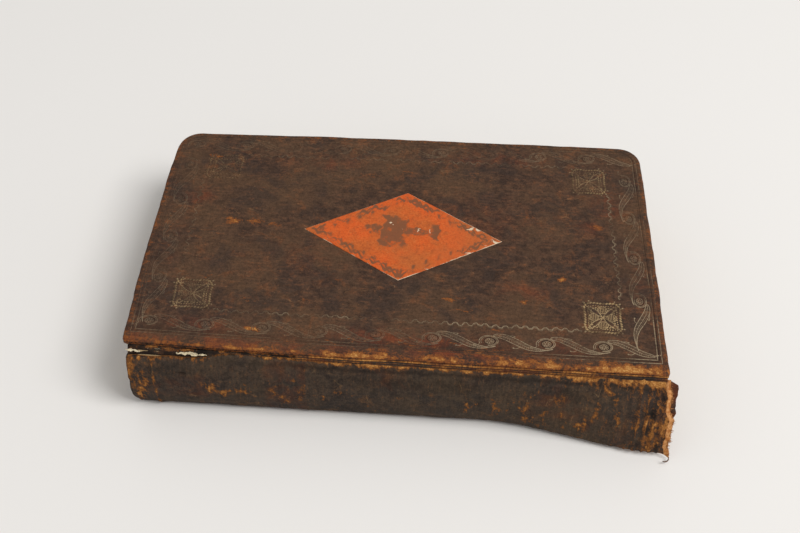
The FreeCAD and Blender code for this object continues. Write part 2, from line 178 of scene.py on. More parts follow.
def makeSheet(name, layers, material, values, flip=False):
    # A thin sheet of two grid layers (x, y, z), closed round its rim. A value is for both layers, or a pair
    rows, columns = layers[0][2].shape
    total = rows * columns
    points = np.concatenate([np.stack(layer, -1).reshape(-1, 3) for layer in layers])
    marks = {}
    for key, value in values.items():
        pair = value if isinstance(value, tuple) else (value, value)
        marks[key] = np.concatenate([np.broadcast_to(side, (rows, columns)) for side in pair])
    ring = rimRing(rows, columns)
    faces = gridFaces(rows, columns, 0, flip) + gridFaces(rows, columns, total, not flip)
    faces += bandFaces(ring, [k + total for k in ring])
    return makePiece(name, points, faces, material, marks)


def tidyMesh(piece, distance=0.00001):
    # Joins doubled vertices and turns every face outwards
    bpy.context.view_layer.objects.active = piece
    for other in bpy.context.selected_objects:
        other.select_set(False)
    piece.select_set(True)
    bpy.ops.object.mode_set(mode="EDIT")
    bpy.ops.mesh.select_all(action="SELECT")
    bpy.ops.mesh.remove_doubles(threshold=distance)
    bpy.ops.mesh.dissolve_degenerate(threshold=distance)
    bpy.ops.mesh.select_all(action="SELECT")
    bpy.ops.mesh.normals_make_consistent(inside=False)
    bpy.ops.object.mode_set(mode="OBJECT")


def tone(red, green, blue):
    # A colour as seen on screen, 0 to 255, to the linear colour that a shader takes
    def linear(value):
        value = value / 255
        return value / 12.92 if value <= 0.04045 else ((value + 0.055) / 1.055) ** 2.4
    return (linear(red), linear(green), linear(blue), 1.0)


def feed(tree, socket, value):
    # A link where the value comes from a node, otherwise a plain setting
    if isinstance(value, bpy.types.NodeSocket):
        tree.links.new(value, socket)
    else:
        socket.default_value = value


def put(tree, kind, inputs=None, **settings):
    node = tree.nodes.new(kind)
    for key, value in settings.items():
        setattr(node, key, value)
    for key, value in (inputs or {}).items():
        feed(tree, node.inputs[key], value)
    return node


def newMaterial(name):
    material = bpy.data.materials.new(name)
    material.use_nodes = True
    tree = material.node_tree
    tree.nodes.clear()
    surface = put(tree, "ShaderNodeBsdfPrincipled")
    put(tree, "ShaderNodeOutputMaterial", {"Surface": surface.outputs[0]})
    return material, tree, surface


def finishSurface(tree, surface, colour, roughness, gloss, normal):
    looks = (("Base Color", colour), ("Roughness", roughness), ("Specular IOR Level", gloss), ("Normal", normal))
    for key, value in looks:
        feed(tree, surface.inputs[key], value)


def objectPlace(tree, stretch=(1, 1, 1)):
    place = put(tree, "ShaderNodeTexCoord").outputs["Object"]
    if tuple(stretch) == (1, 1, 1):
        return place
    return put(tree, "ShaderNodeMapping", {"Vector": place, "Scale": stretch}).outputs[0]


def noise(tree, place, size, detail=3.0, rough=0.55, twist=0.0):
    # Noise whose features are about size millimetres across
    inputs = {"Vector": place, "Scale": 1 / (size * mm), "Detail": detail, "Roughness": rough, "Distortion": twist}
    return put(tree, "ShaderNodeTexNoise", inputs).outputs[0]


def within(tree, value, low, high):
    inputs = {"Value": value, "From Min": low, "From Max": high}
    return put(tree, "ShaderNodeMapRange", inputs, interpolation_type="SMOOTHSTEP").outputs[0]


def sums(tree, operation, first, second=0.0, clamp=False):
    return put(tree, "ShaderNodeMath", {0: first, 1: second}, operation=operation, use_clamp=clamp).outputs[0]


def product(tree, first, second):
    return sums(tree, "MULTIPLY", first, second)


def weighted(tree, total, parts):
    # Adds each part times its weight
    for part, weight in parts:
        total = sums(tree, "ADD", total, product(tree, part, weight))
    return total


def frayed(tree, value, ragged, amount):
    # A value whose edges a noise makes ragged
    return sums(tree, "ADD", value, product(tree, sums(tree, "SUBTRACT", ragged, 0.5), amount))


def attributeValue(tree, name):
    return put(tree, "ShaderNodeAttribute", attribute_name=name).outputs["Fac"]


def mixTone(tree, share, first, second):
    node = put(tree, "ShaderNodeMix", data_type="RGBA")
    for socket, value in ((node.inputs[0], share), (node.inputs[6], first), (node.inputs[7], second)):
        feed(tree, socket, value)
    return node.outputs[2]


def tinted(tree, colour, layers):
    # Lays tones over a colour, each by its share times an amount
    for share, amount, over in layers:
        colour = mixTone(tree, product(tree, share, amount), colour, over)
    return colour


def bumpFrom(tree, height, depth, strength=1.0):
    return put(tree, "ShaderNodeBump", {"Height": height, "Distance": depth * mm, "Strength": strength}).outputs[0]


# Materials


def leatherMaterial(name, look):
    # Old calf: dark mottled ground, red-brown patches, fine scratches, rubbed tan where the grain is worn off
    material, tree, surface = newMaterial(name)
    place = objectPlace(tree)
    broad = noise(tree, place, 24, 3.0)
    cloud = noise(tree, place, 11, 4.0, 0.6, 0.6)
    patch = noise(tree, place, 6.5, 5.0, 0.66, 0.7)
    blotch = noise(tree, place, 2.6, 5.0, 0.68, 0.3)
    fine = noise(tree, place, 0.95, 4.0, 0.68)
    grain = noise(tree, place, 0.42, 3.0, 0.6)
    streak = noise(tree, objectPlace(tree, look["streakStretch"]), 1.1, 4.0, 0.62)
    scratch = noise(tree, objectPlace(tree, look["scratchStretch"]), 5, 1.5, 0.5, 0.2)
    hair = sums(tree, "ABSOLUTE", sums(tree, "SUBTRACT", scratch, 0.5))
    warmShare = product(tree, within(tree, patch, 0.5, 0.68), within(tree, blotch, 0.4, 0.6))
    redShare = product(tree, attributeValue(tree, "red"), within(tree, patch, 0.38, 0.62))
    fleckShare = product(tree, within(tree, grain, 0.6, 0.74), within(tree, patch, 0.48, 0.62))
    hairShare = product(tree, within(tree, hair, 0.010, 0.003), within(tree, patch, 0.54, 0.66))
    colour = mixTone(tree, within(tree, blotch, 0.36, 0.62), look["deep"], look["ground"])
    colour = tinted(tree, colour, (
        (within(tree, broad, 0.36, 0.64), 0.7, look["groundTwo"]),
        (within(tree, cloud, 0.54, 0.36), 0.6, look["shade"]),
        (warmShare, look["warmShare"], look["warm"]), (redShare, 0.9, look["red"]),
        (within(tree, streak, 0.54, 0.72), 0.3, look["warm"]), (fleckShare, 0.4, look["fleck"]),
        (hairShare, 0.35, look["fleck"]),
    ))
    # Grain darkens and lightens the leather without changing its hue
    grey = weighted(tree, -0.53, ((fine, 1.4), (streak, 0.8), (grain, 0.9)))
    colour = put(tree, "ShaderNodeVectorMath", {0: colour, "Scale": grey}, operation="SCALE").outputs[0]
    rub = attributeValue(tree, "wear")
    for ragged, share in ((blotch, 0.7), (fine, 1.1), (streak, 0.85), (grain, 0.7)):
        rub = frayed(tree, rub, ragged, share)
    worn = within(tree, rub, 0.24, 0.5)
    bare = within(tree, rub, 0.46, 0.78)
    pale = product(tree, within(tree, rub, 0.66, 1.0), within(tree, grain, 0.44, 0.62))
    colour = tinted(tree, colour, (
        (attributeValue(tree, "ink"), 0.88, look["ink"]), (worn, 0.85, look["russet"]), (bare, 0.9, look["tan"]),
        (pale, 0.75, look["paleTan"]),
    ))
    olive = mixTone(tree, attributeValue(tree, "gilt"), look["line"], look["gilt"])
    lineShare = product(tree, attributeValue(tree, "line"), within(tree, fine, 0.22, 0.6))
    colour = mixTone(tree, sums(tree, "MULTIPLY", lineShare, 0.95, True), colour, olive)
    rawTone = mixTone(tree, within(tree, fine, 0.38, 0.62), look["rawTan"], look["rawPale"])
    colour = mixTone(tree, attributeValue(tree, "raw"), colour, rawTone)
    roughness = weighted(tree, look["roughness"], ((bare, 0.2), (fine, 0.2)))
    height = weighted(tree, fine, ((grain, 0.5), (streak, 0.7), (bare, -0.4)))
    finishSurface(tree, surface, colour, roughness, look["gloss"], bumpFrom(tree, height, look["grainDepth"]))
    return material


coverLook = {
    "ground": tone(82, 60, 46), "groundTwo": tone(88, 65, 47), "warm": tone(108, 67, 42), "deep": tone(59, 44, 36),
    "shade": tone(58, 47, 41), "fleck": tone(140, 106, 74), "red": tone(116, 58, 36), "ink": tone(42, 33, 28),
    "russet": tone(124, 71, 36), "tan": tone(158, 102, 50), "paleTan": tone(206, 156, 92), "rawTan": tone(168, 106, 56),
    "rawPale": tone(204, 148, 94), "line": tone(152, 134, 108), "gilt": tone(172, 144, 102), "warmShare": 0.6,
    "roughness": 0.56, "gloss": 0.08, "grainDepth": 0.14,
    "streakStretch": (0.3, 1.0, 1.0), "scratchStretch": (0.4, 1.0, 1.0),
}
# The spine's tones are darker than the cover's: partly the spine leather's own colour and partly painted shade of the
# spine's upright face.
spineLook = {
    **coverLook,
    "ground": tone(69, 57, 48), "groundTwo": tone(76, 62, 48), "warm": tone(96, 66, 42), "deep": tone(47, 39, 35),
    "shade": tone(54, 48, 44), "fleck": tone(138, 110, 76), "red": tone(98, 52, 31), "ink": tone(25, 21, 19),
    "russet": tone(112, 69, 34), "tan": tone(150, 98, 48), "paleTan": tone(198, 146, 84), "warmShare": 0.55,
    "streakStretch": (1.6, 0.5, 0.25), "scratchStretch": (1.0, 0.5, 0.3), "roughness": 0.6,
}
coverLeather = leatherMaterial("coverLeather", coverLook)
spineLeather = leatherMaterial("spineLeather", spineLook)


def paperMaterial(name, look):
    # Old rag paper: clouded tone, fibres, a few brown spots, darker where leafTone says so
    material, tree, surface = newMaterial(name)
    place = objectPlace(tree)
    cloud = noise(tree, place, 30, 4.0, 0.6)
    fibre = noise(tree, objectPlace(tree, (1.0, 1.0, look["layers"])), 1.6, 3.0, 0.6)
    spot = noise(tree, place, 4.5, 2.0, 0.5)
    colour = mixTone(tree, within(tree, cloud, 0.35, 0.68), look["light"], look["dark"])
    colour = tinted(tree, colour, (
        (within(tree, fibre, 0.45, 0.75), 0.5, look["fibre"]), (within(tree, spot, 0.66, 0.74), 0.45, look["foxing"]),
        (attributeValue(tree, "leafTone"), look["leafShare"], look["leaf"]),
    ))
    finishSurface(tree, surface, colour, 0.9, 0.2, bumpFrom(tree, fibre, look["depth"], 0.6))
    return material


pageLook = {
    "light": tone(212, 194, 158), "dark": tone(190, 165, 124),
    "fibre": tone(166, 138, 98), "foxing": tone(150, 108, 66),
    "leaf": tone(140, 112, 76), "leafShare": 0.7, "layers": 6.0, "depth": 0.08,
}
endpaperLook = {
    **pageLook, "light": tone(214, 200, 170), "dark": tone(198, 180, 144), "fibre": tone(188, 168, 132),
    "foxing": tone(168, 128, 84), "leafShare": 0.0, "layers": 1.0, "depth": 0.03,
}
pagePaper = paperMaterial("pagePaper", pageLook)
endPaper = paperMaterial("endPaper", endpaperLook)
# The board's dark leaf tone is painted shade for its edge by the joint.
boardLook = {
    **pageLook, "light": tone(188, 172, 138), "dark": tone(150, 130, 98), "fibre": tone(112, 92, 66),
    "foxing": tone(92, 66, 44), "leaf": tone(56, 42, 33), "leafShare": 0.92, "layers": 5.0, "depth": 0.15,
}
boardPaper = paperMaterial("boardPaper", boardLook)
liningPaper = paperMaterial("liningPaper", {**boardLook, "light": tone(178, 152, 112), "layers": 2.0})


# Covers: a dense skin over each board, turned in on three sides, with a lip at the joint

coverShape = {
    "edgeRound": 1.2, "foreCorner": 8.0, "spineCorner": 1.5, "backSpineCorner": 3.0, "turnIn": 7.0,
    "frontLip": 2.3, "backLip": 1.5, "step": 0.62, "lean": 0.018, "foreBow": 0.45,
    "bowHead": 1.1, "bowTail": 0.3, "bowMiddle": 10.0, "edgeWear": 0.22, "swell": 0.10, "ripple": 0.05, "settle": 0.05,
    "hollow": 0.10, "hollowAt": 5.6, "hollowReach": 1.6,
}


def coverWarp(x, y):
    # The old cover isn't quite square: its fore-edge leans and bows, its ends swell, its joint edge is bowed
    c = coverShape
    outward = (y - spineEdge) / (foreEdge - spineEdge)
    away = (x - c["bowMiddle"]) / halfLength
    bow = np.where(away < 0, c["bowHead"], c["bowTail"]) * away ** 2
    shift = c["lean"] * x + c["foreBow"] * (1 - ((x - 30) / 70) ** 2)
    head = np.interp(y, (-48, -34, -24, 25, 33, 40, 47), (0.1, 0.4, 0.85, 0.95, 0.75, 0.4, 0.2))
    tail = np.interp(y, (-45, -16, 0, 40), (-0.05, 0.15, -0.2, -0.5))
    newX = x - head * softStep(-x, 20, halfLength) + tail * softStep(x, 20, halfLength)
    return newX, y + shift * outward + bow * (1 - outward) ** 6


lozengeShape = {
    "x": -0.2, "y": 2.1, "halfLong": 33.0, "halfWide": 20.4, "turn": math.radians(-1.5), "cell": 0.28, "thick": 0.32,
    "recess": 0.2,
    # Chips in the grain: place along and across, reach along and across, strength
    "chips": [
        (24.8, 4.5, 1.7, 0.9, 1.1), (22.4, 5.7, 1.1, 0.6, 0.9), (21.4, -6.6, 1.4, 0.6, 0.9),
        (8.8, -14.4, 1.8, 0.4, 0.8),
        (31.8, 0.2, 2.4, 0.9, 1.0), (-3.6, 5.2, 0.5, 0.4, 0.8), (0.2, 2.8, 0.45, 0.35, 0.8), (4.6, 2.2, 0.4, 0.3, 0.7),
        (8.4, 2.4, 0.5, 0.4, 0.8), (27.4, -2.8, 1.6, 0.35, 0.7), (-26.0, -3.5, 1.2, 0.3, 0.6),
        (16.0, 8.6, 0.6, 0.4, 0.5),
    ],
}


def lozengePlace(x, y):
    # Place measured along the lozenge's own diagonals
    s = lozengeShape
    c, n = math.cos(s["turn"]), math.sin(s["turn"])
    dx, dy = x - s["x"], y - s["y"]
    return c * dx + n * dy, c * dy - n * dx


def lozengeDepth(x, y):
    # Distance inside the lozenge's nearest side
    s = lozengeShape
    u, v = lozengePlace(x, y)
    scale = s["halfLong"] * s["halfWide"] / math.hypot(s["halfLong"], s["halfWide"])
    return (1 - np.abs(u) / s["halfLong"] - np.abs(v) / s["halfWide"]) * scale


def lozengeRecess(x, y):
    return lozengeShape["recess"] * softStep(lozengeDepth(x, y), -0.5, 0.2)


def coverHeight(x, y):
    # Gentle unevenness of the old board, in millimetres above the flat face
    c = coverShape
    slow = c["swell"] * softNoise(x, y, 34, 11) + c["ripple"] * softNoise(x, y, 11, 12)
    hollow = -c["hollow"] * np.exp(-((y - spineEdge - c["hollowAt"]) / c["hollowReach"]) ** 2)
    return slow + hollow - c["settle"] - lozengeRecess(x, y)


def gridSteps(low, high, edgeRound, step):
    turn = np.linspace(0, math.pi / 2, 5)
    edge = edgeRound * (1 - np.cos(turn))
    middle = np.linspace(low + edgeRound, high - edgeRound, int((high - low) / step))
    return np.concatenate([low + edge[:-1], middle, high - edge[:-1][::-1]])


def roundCorners(x, y, spineCorner, foreCorner):
    # Presses the square corners of the grid on to round ones and gives each point's distance from the rim
    rim = np.minimum(np.minimum(halfLength - np.abs(x), foreEdge - y), y - spineEdge)
    newX, newY = x.copy(), y.copy()
    for radius, edge, way in ((foreCorner, foreEdge, 1), (spineCorner, spineEdge, -1)):
        u = (np.abs(x) - (halfLength - radius)) / radius
        v = (way * (y - edge) + radius) / radius
        inside = (u > 0) & (v > 0)
        u, v = np.clip(u, 0, 1), np.clip(v, 0, 1)
        roundU, roundV = u * np.sqrt(1 - v * v / 2), v * np.sqrt(1 - u * u / 2)
        newX = np.where(inside, np.sign(x) * (halfLength - radius + radius * roundU), newX)
        newY = np.where(inside, edge - way * radius + way * radius * roundV, newY)
        rim = np.where(inside, radius - radius * np.hypot(roundU, roundV), rim)
    return newX, newY, np.maximum(rim, 0)


def coverSkin(front):
    # Points, faces and the grid's own x, y; depth counts from the outer face inwards
    c = coverShape
    spineCorner = c["spineCorner"] if front else c["backSpineCorner"]
    lip = c["frontLip"] if front else c["backLip"]
    xs = gridSteps(-halfLength, halfLength, c["edgeRound"], c["step"])
    ys = gridSteps(spineEdge, foreEdge, c["edgeRound"], c["step"])
    gx, gy = np.meshgrid(xs, ys, indexing="ij")
    x, y, rim = roundCorners(gx, gy, spineCorner, c["foreCorner"])
    short = np.clip(c["edgeRound"] - rim, 0, c["edgeRound"])
    depth = c["edgeRound"] - np.sqrt(np.maximum(c["edgeRound"] ** 2 - short ** 2, 0))
    fade = softStep(rim, 0, 3)
    depth = depth - coverHeight(x, y) * fade if front else depth + 0.05
    # The rubbed rim wanders in and out a little
    wander = c["edgeWear"] * (layeredNoise(x, y, 9, 21) - 0.4) * (1 - softStep(rim, 0, 4))
    x = x + wander * np.sign(x) * softStep(np.abs(x), halfLength - 5, halfLength)
    y = y + wander * np.sign(y) * softStep(np.abs(y), 45, 50)
    rows, columns = len(xs), len(ys)
    points = [np.stack([x.ravel(), y.ravel(), depth.ravel()], -1)]
    faces = gridFaces(rows, columns, flip=True)
    ring = rimRing(rows, columns)
    rimPoints = points[0][ring]
    spineShare = 1 - softStep(rimPoints[:, 1], spineEdge + 0.7, spineEdge + 1.3)
    deepest = coverDepth + (lip - coverDepth) * spineShare
    inX, inSpine, inFore = halfLength - c["turnIn"], spineEdge + skin, foreEdge - c["turnIn"]
    boardX, boardFore = halfLength - skin, foreEdge - skin
    wide = (halfLength + 1, spineEdge - 1, foreEdge + 1)
    nearly = (halfLength - 0.4, spineEdge + 0.25, foreEdge - 0.4)
    folded = (inX, inSpine, inFore)
    pocket = (boardX, inSpine, boardFore)
    inner = deepest - 0.3 * (1 - spineShare) - 0.1 * spineShare
    rings = [
        (wide, deepest * 0.5), (wide, deepest - 0.35), (nearly, deepest), (folded, deepest),
        (folded, inner), (pocket, inner), (pocket, np.full(len(ring), skin)),
    ]
    previous = ring
    for (reachX, reachSpine, reachFore), level in rings:
        px = np.clip(rimPoints[:, 0], -reachX, reachX)
        py = np.clip(rimPoints[:, 1], reachSpine, reachFore)
        start = sum(len(p) for p in points)
        points.append(np.stack([px, py, level], -1))
        following = list(range(start, start + len(ring)))
        faces += bandFaces(previous, following)
        previous = following
    # The pocket's floor, joined straight across from the joint side to the fore-edge
    lowIn = previous[:rows]
    rightIn = previous[rows:rows + columns - 1]
    highIn = [rightIn[-1]] + previous[rows + columns - 1:rows + columns - 1 + rows - 1]
    leftIn = previous[2 * rows + columns - 2:]
    highIn = highIn[::-1]
    for k in range(1, rows - 2):
        faces.append([lowIn[k], lowIn[k + 1], highIn[k + 1], highIn[k]])
    faces.append([lowIn[0], lowIn[1], highIn[1], highIn[0]] + leftIn)
    faces.append([lowIn[-2], lowIn[-1]] + rightIn[:-1] + [highIn[-1], highIn[-2]])
    points = np.concatenate(points)
    flat = points.copy()
    if front:
        points[:, 0], points[:, 1] = coverWarp(flat[:, 0], flat[:, 1])
    return points, faces, flat


frontWear = {
    # x, y, reach in x, reach in y, strength
    "rubs": [
        (-56.5, 6.0, 3.0, 2.0, 0.62), (-50, 5.0, 4.5, 1.4, 0.42), (-43, 4.2, 3.0, 1.2, 0.46), (-12, 30, 4.0, 1.4, 0.35),
        (-1, 32.5, 3.2, 1.2, 0.35), (43, 14, 2.4, 1.2, 0.4), (50.5, -14.3, 1.5, 0.8, 0.95),
        (39.3, -24.3, 1.6, 1.0, 0.75),
        (14.9, -26.2, 2.6, 0.5, 0.6), (21.8, -28.7, 2.8, 0.5, 0.6), (-47, -30, 2.4, 1.0, 0.5),
        (-30, -28, 2.2, 0.9, 0.45),
        (-43.9, -42.5, 1.8, 0.9, 0.9), (-68, 37.5, 2.6, 1.4, 0.45), (64, 10, 2.0, 1.4, 0.4), (-60, -20, 1.4, 0.7, 0.45),
        (-20, -20, 1.2, 0.6, 0.4), (30, -36, 5.0, 1.0, 0.35), (-78, 2, 2.0, 12.0, 0.2), (-80, -20, 1.6, 9.0, 0.2),
        (-8, -43.6, 9, 0.45, 0.5), (6, -44.7, 10, 0.4, 0.55), (16, -42.6, 6, 0.35, 0.5), (-20, -45.0, 8, 0.4, 0.5),
        (30, -44.4, 7, 0.4, 0.45), (2, -42.2, 5, 0.35, 0.45), (-34, -45.4, 7, 0.35, 0.4), (24, -45.6, 8, 0.5, 0.6),
        (26, -46.9, 10, 1.3, 0.42), (10, -47.2, 9, 1.0, 0.4), (-6, -47.4, 9, 0.8, 0.36),
    ],
    "reds": [
        (-70.8, 17.6, 4, 3, 0.8), (69, 20, 4, 6, 0.7), (64, 10, 4, 4, 0.6), (5, -43, 18, 3.0, 0.95),
        (-12, -42, 8, 2.5, 0.7), (20, -46.2, 16, 2.4, 0.9), (40, -20, 7, 3, 0.5), (30, 42, 16, 3, 0.35),
        (-30, 36, 12, 3, 0.35), (-60, -42, 12, 3, 0.45), (52, -43, 12, 3, 0.4),
        (76, -10, 2, 14, 0.3), (-74, -6, 3, 14, 0.2), (20, 8, 22, 12, 0.2), (-25, -8, 20, 10, 0.15),
    ],
}


def frontValues(points):
    x, y, z = points[:, 0], points[:, 1], points[:, 2]
    rimX = halfLength - np.abs(x)
    rimFore = foreEdge - y
    rimSpine = y - spineEdge
    slow = layeredNoise(x, y, 14, 31)
    quick = layeredNoise(x, y, 3.5, 37)
    wear = 0.30 * np.exp(-(rimX / 1.2)) * (0.7 + 0.6 * slow)
    wear = np.maximum(wear, 0.36 * np.exp(-rimFore / 1.4) * (0.75 + 0.6 * slow))
    # The joint ridge is rubbed through, most along its tail two thirds
    small = layeredNoise(x, y, 1.3, 39)
    tailward = softStep(x, -45, 35)
    ridgeReach = 0.7 + 2.3 * tailward + (0.9 * quick + 0.9 * slow) * (0.15 + 0.85 * tailward)
    ridge = np.exp(-np.maximum(rimSpine, 0) ** 2 / np.maximum(ridgeReach, 0.45) ** 2)
    ridge = ridge * (0.48 + 0.14 * softStep(x, -60, 10) + 0.16 * slow + 0.22 * quick + 0.3 * small)
    ridge = ridge * (1 - 0.75 * softStep(topLevel - z, 0.5, 1.1) * (rimSpine < 1.2) * (0.6 + 0.8 * small))
    wear = np.maximum(wear, ridge)
    corner = np.hypot(np.maximum(5 - rimX, 0), np.maximum(5 - np.minimum(rimFore, rimSpine), 0))
    wear = np.maximum(wear, 0.07 * corner)
    wear = np.maximum(wear, spotField(x, y, frontWear["rubs"], 41))
    red = spotField(x, y, frontWear["reds"], 51)
    red = np.maximum(red, 0.7 * np.exp(-(rimSpine / 4.5) ** 2) * softStep(-x, -30, 30))
    red = np.maximum(red, 0.12 * np.exp(-(rimX / 3.0) ** 2))
    ink = 0.35 * np.exp(-((rimSpine - 5.4) / 1.5) ** 2) * (1 + quick * 0.6)
    below = topLevel - z
    headHalf = 1 - softStep(x, -50, -15)
    # The lip's face at the joint: two dark grooves with a worn strand between them
    onLip = rimSpine < 1.2
    groove = 0.35 * np.exp(-((below - 1.2 - 0.15 * quick) / 0.14) ** 2)
    groove = groove + 0.25 * np.exp(-((below - 2.05 + 0.12 * quick) / 0.12) ** 2)
    strand = np.exp(-((below - 1.65 + 0.2 * quick) / 0.22) ** 2) * onLip * (0.5 + 0.35 * small + 0.2 * slow)
    wear = np.maximum(wear, strand * (0.35 + 0.65 * tailward))
    crest = np.exp(-((rimSpine - 0.5) / 0.4) ** 2) * (below < 0.6) * (0.42 + 0.3 * small)
    wear = np.maximum(wear, crest)
    # Towards the head the lower part of the lip's face is darkened: painted shade below the rounded ridge.
    ink = np.maximum(ink, (groove + 0.6 * headHalf * softStep(below, 0.7, 1.3)) * onLip)
    red = np.maximum(red, 0.9 * softStep(below, 0.7, 1.2) * onLip * (1 - headHalf))
    zeros = np.zeros(len(x))
    return {"wear": np.clip(wear, 0, 1.2), "red": np.clip(red, 0, 1), "ink": np.clip(ink, 0, 1), "raw": zeros}


def backValues(points):
    x, y = points[:, 0], points[:, 1]
    rim = np.minimum(halfLength - np.abs(x), np.minimum(foreEdge - y, y - spineEdge))
    slow = layeredNoise(x, y, 14, 61)
    wear = 0.32 * np.exp(-rim / 1.2) * (0.8 + 0.5 * slow) + 0.15 * softStep(slow, 0.4, 1.0)
    red = 0.4 * softStep(layeredNoise(x, y, 24, 63), 0.1, 0.9)
    zeros = np.zeros(len(x))
    return {"wear": np.clip(wear, 0, 1), "red": red, "ink": zeros, "raw": zeros}


def buildCovers():
    points, faces, flat = coverSkin(True)
    points[:, 2] = flat[:, 2] = topLevel - points[:, 2]
    front = makePiece("frontCoverSkin", points, faces, coverLeather, frontValues(flat))
    tidyMesh(front)
    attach(front, "front_cover")
    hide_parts("front_cover_leather")
    points, faces, flat = coverSkin(False)
    points[:, 1] += coverShape["lean"] * points[:, 0] * (points[:, 1] - spineEdge) / (foreEdge - spineEdge)
    back = makePiece("backCoverSkin", points, faces, coverLeather, backValues(flat))
    tidyMesh(back)
    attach(back, "back_cover")
    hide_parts("back_cover_leather")


buildCovers()
print("stage: covers")


def buildBoard(node, inset, corner, top, bottom, material):
    # A plate with the front cover's own outline, set in and warped along with it
    xEnd, fore, joint = halfLength - inset, foreEdge - inset, spineEdge + skin
    corners = ((xEnd, fore, corner, 0), (-xEnd, fore, corner, 90), (-xEnd, joint, 0.3, 180), (xEnd, joint, 0.3, 270))
    outline = []
    for cx, cy, radius, start in corners:
        midX, midY = cx - math.copysign(radius, cx), cy - math.copysign(radius, cy)
        for angle in np.radians(start + np.linspace(0, 90, 7)):
            outline.append((midX + radius * math.cos(angle), midY + radius * math.sin(angle)))
    dense = np.array(finerPath(outline + outline[:1], 1))
    count = len(dense)
    levels = np.linspace(bottom, top, 6)
    points = []
    for number, level in enumerate(levels):
        x, y = dense[:, 0], dense[:, 1]
        fray = 0.12 * layeredNoise(x * 1.7, y * 1.7 + number * 3, 2.2, 201) if 0 < number < 5 else 0.0
        points.append(np.stack([*coverWarp(x, y + np.abs(fray)), np.full(count, level)], -1))
    rings = [list(range(number * count, (number + 1) * count)) for number in range(len(levels))]
    faces = [rings[0][::-1], rings[-1]]
    for lower, upper in zip(rings, rings[1:]):
        faces += bandFaces(lower, upper)
    points = np.concatenate(points)
    # The board's edge by the joint gets the dark leaf tone: painted shade in the open joint under the cover's lip.
    jointShade = 1 - softStep(points[:, 1], spineEdge + 1.6, spineEdge + 2.6)
    piece = makePiece(node + "Body", points, faces, material, {"leafTone": jointShade}, smooth=False)
    tidyMesh(piece)
    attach(piece, "front_cover")
    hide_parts(node)


buildBoard("front_board", skin, 7.2, topLevel - skin, pasteHigh[2], boardPaper)
buildBoard("front_pastedown", coverShape["turnIn"], 1.0, pasteHigh[2], pasteLow[2], endPaper)
print("stage: boards")


# Geometry Nodes helpers: strokes follow drawn lines, grains are small solids set on points


def nodeGroup(name, inputs):
    group = bpy.data.node_groups.new(name, "GeometryNodeTree")
    group.interface.new_socket("Geometry", in_out="INPUT", socket_type="NodeSocketGeometry")
    for label, kind in inputs:
        group.interface.new_socket(label, in_out="INPUT", socket_type=kind)
    group.interface.new_socket("Geometry", in_out="OUTPUT", socket_type="NodeSocketGeometry")
    source = group.nodes.new("NodeGroupInput")
    sink = group.nodes.new("NodeGroupOutput")
    return group, source, sink


def namedValue(group, name, kind="FLOAT"):
    node = group.nodes.new("GeometryNodeInputNamedAttribute")
    node.data_type = kind
    node.inputs["Name"].default_value = name
    return node.outputs["Attribute"]


def closeGroup(group, source, sink, geometry):
    real = put(group, "GeometryNodeRealizeInstances", {"Geometry": geometry})
    finish = put(group, "GeometryNodeSetMaterial", {"Geometry": real.outputs[0], "Material": source.outputs["Finish"]})
    group.links.new(finish.outputs[0], sink.inputs["Geometry"])
    return group


def strokeGroup():
    # A tube along every line, as thick as its points say
    group, source, sink = nodeGroup("strokes", [("Sides", "NodeSocketInt"), ("Finish", "NodeSocketMaterial")])
    curve = put(group, "GeometryNodeMeshToCurve", {"Mesh": source.outputs["Geometry"]})
    circle = put(group, "GeometryNodeCurvePrimitiveCircle", {"Resolution": source.outputs["Sides"], "Radius": 1.0})
    inputs = {"Curve": curve.outputs[0], "Profile Curve": circle.outputs[0], "Fill Caps": True}
    tube = put(group, "GeometryNodeCurveToMesh")
    thick = namedValue(group, "thick")
    if "Scale" in tube.inputs:
        inputs["Scale"] = thick
    else:
        sized = put(group, "GeometryNodeSetCurveRadius", {"Curve": curve.outputs[0], "Radius": thick})
        inputs["Curve"] = sized.outputs[0]
    for key, value in inputs.items():
        feed(group, tube.inputs[key], value)
    return closeGroup(group, source, sink, tube.outputs[0])


def pointGroup(name, labels, kind, settings):
    # One small solid on every point, turned and sized by the point's own values
    group, source, sink = nodeGroup(name, [*labels, ("Finish", "NodeSocketMaterial")])
    points = put(group, "GeometryNodeMeshToPoints", {"Mesh": source.outputs["Geometry"]})
    for label, _ in labels:
        settings = {key: source.outputs[label] if value == label else value for key, value in settings.items()}
    inputs = {
        "Points": points.outputs[0], "Instance": put(group, kind, settings).outputs[0],
        "Rotation": namedValue(group, "turn", "FLOAT_VECTOR"), "Scale": namedValue(group, "size", "FLOAT_VECTOR"),
    }
    return closeGroup(group, source, sink, put(group, "GeometryNodeInstanceOnPoints", inputs).outputs[0])


def runGroup(name, mesh, group, settings):
    # Puts the node group on a holder, takes the finished mesh and leaves a plain object behind
    holder = addObject(name + "Holder", mesh)
    modifier = holder.modifiers.new("build", "NODES")
    modifier.node_group = group
    for item in group.interface.items_tree:
        if item.item_type == "SOCKET" and item.in_out == "INPUT" and item.name in settings:
            modifier[item.identifier] = settings[item.name]
    bpy.context.view_layer.update()
    graph = bpy.context.evaluated_depsgraph_get()
    finished = holder.evaluated_get(graph)
    result = bpy.data.meshes.new_from_object(finished, preserve_all_data_layers=True, depsgraph=graph)
    bpy.data.objects.remove(holder)
    result.name = name
    result.polygons.foreach_set("use_smooth", [True] * len(result.polygons))
    return addObject(name, result)


strokesGroup = strokeGroup()
grainLabels = [("Detail", "NodeSocketInt")]
grainsGroup = pointGroup("grains", grainLabels, "GeometryNodeMeshIcoSphere", {"Radius": 1.0, "Subdivisions": "Detail"})


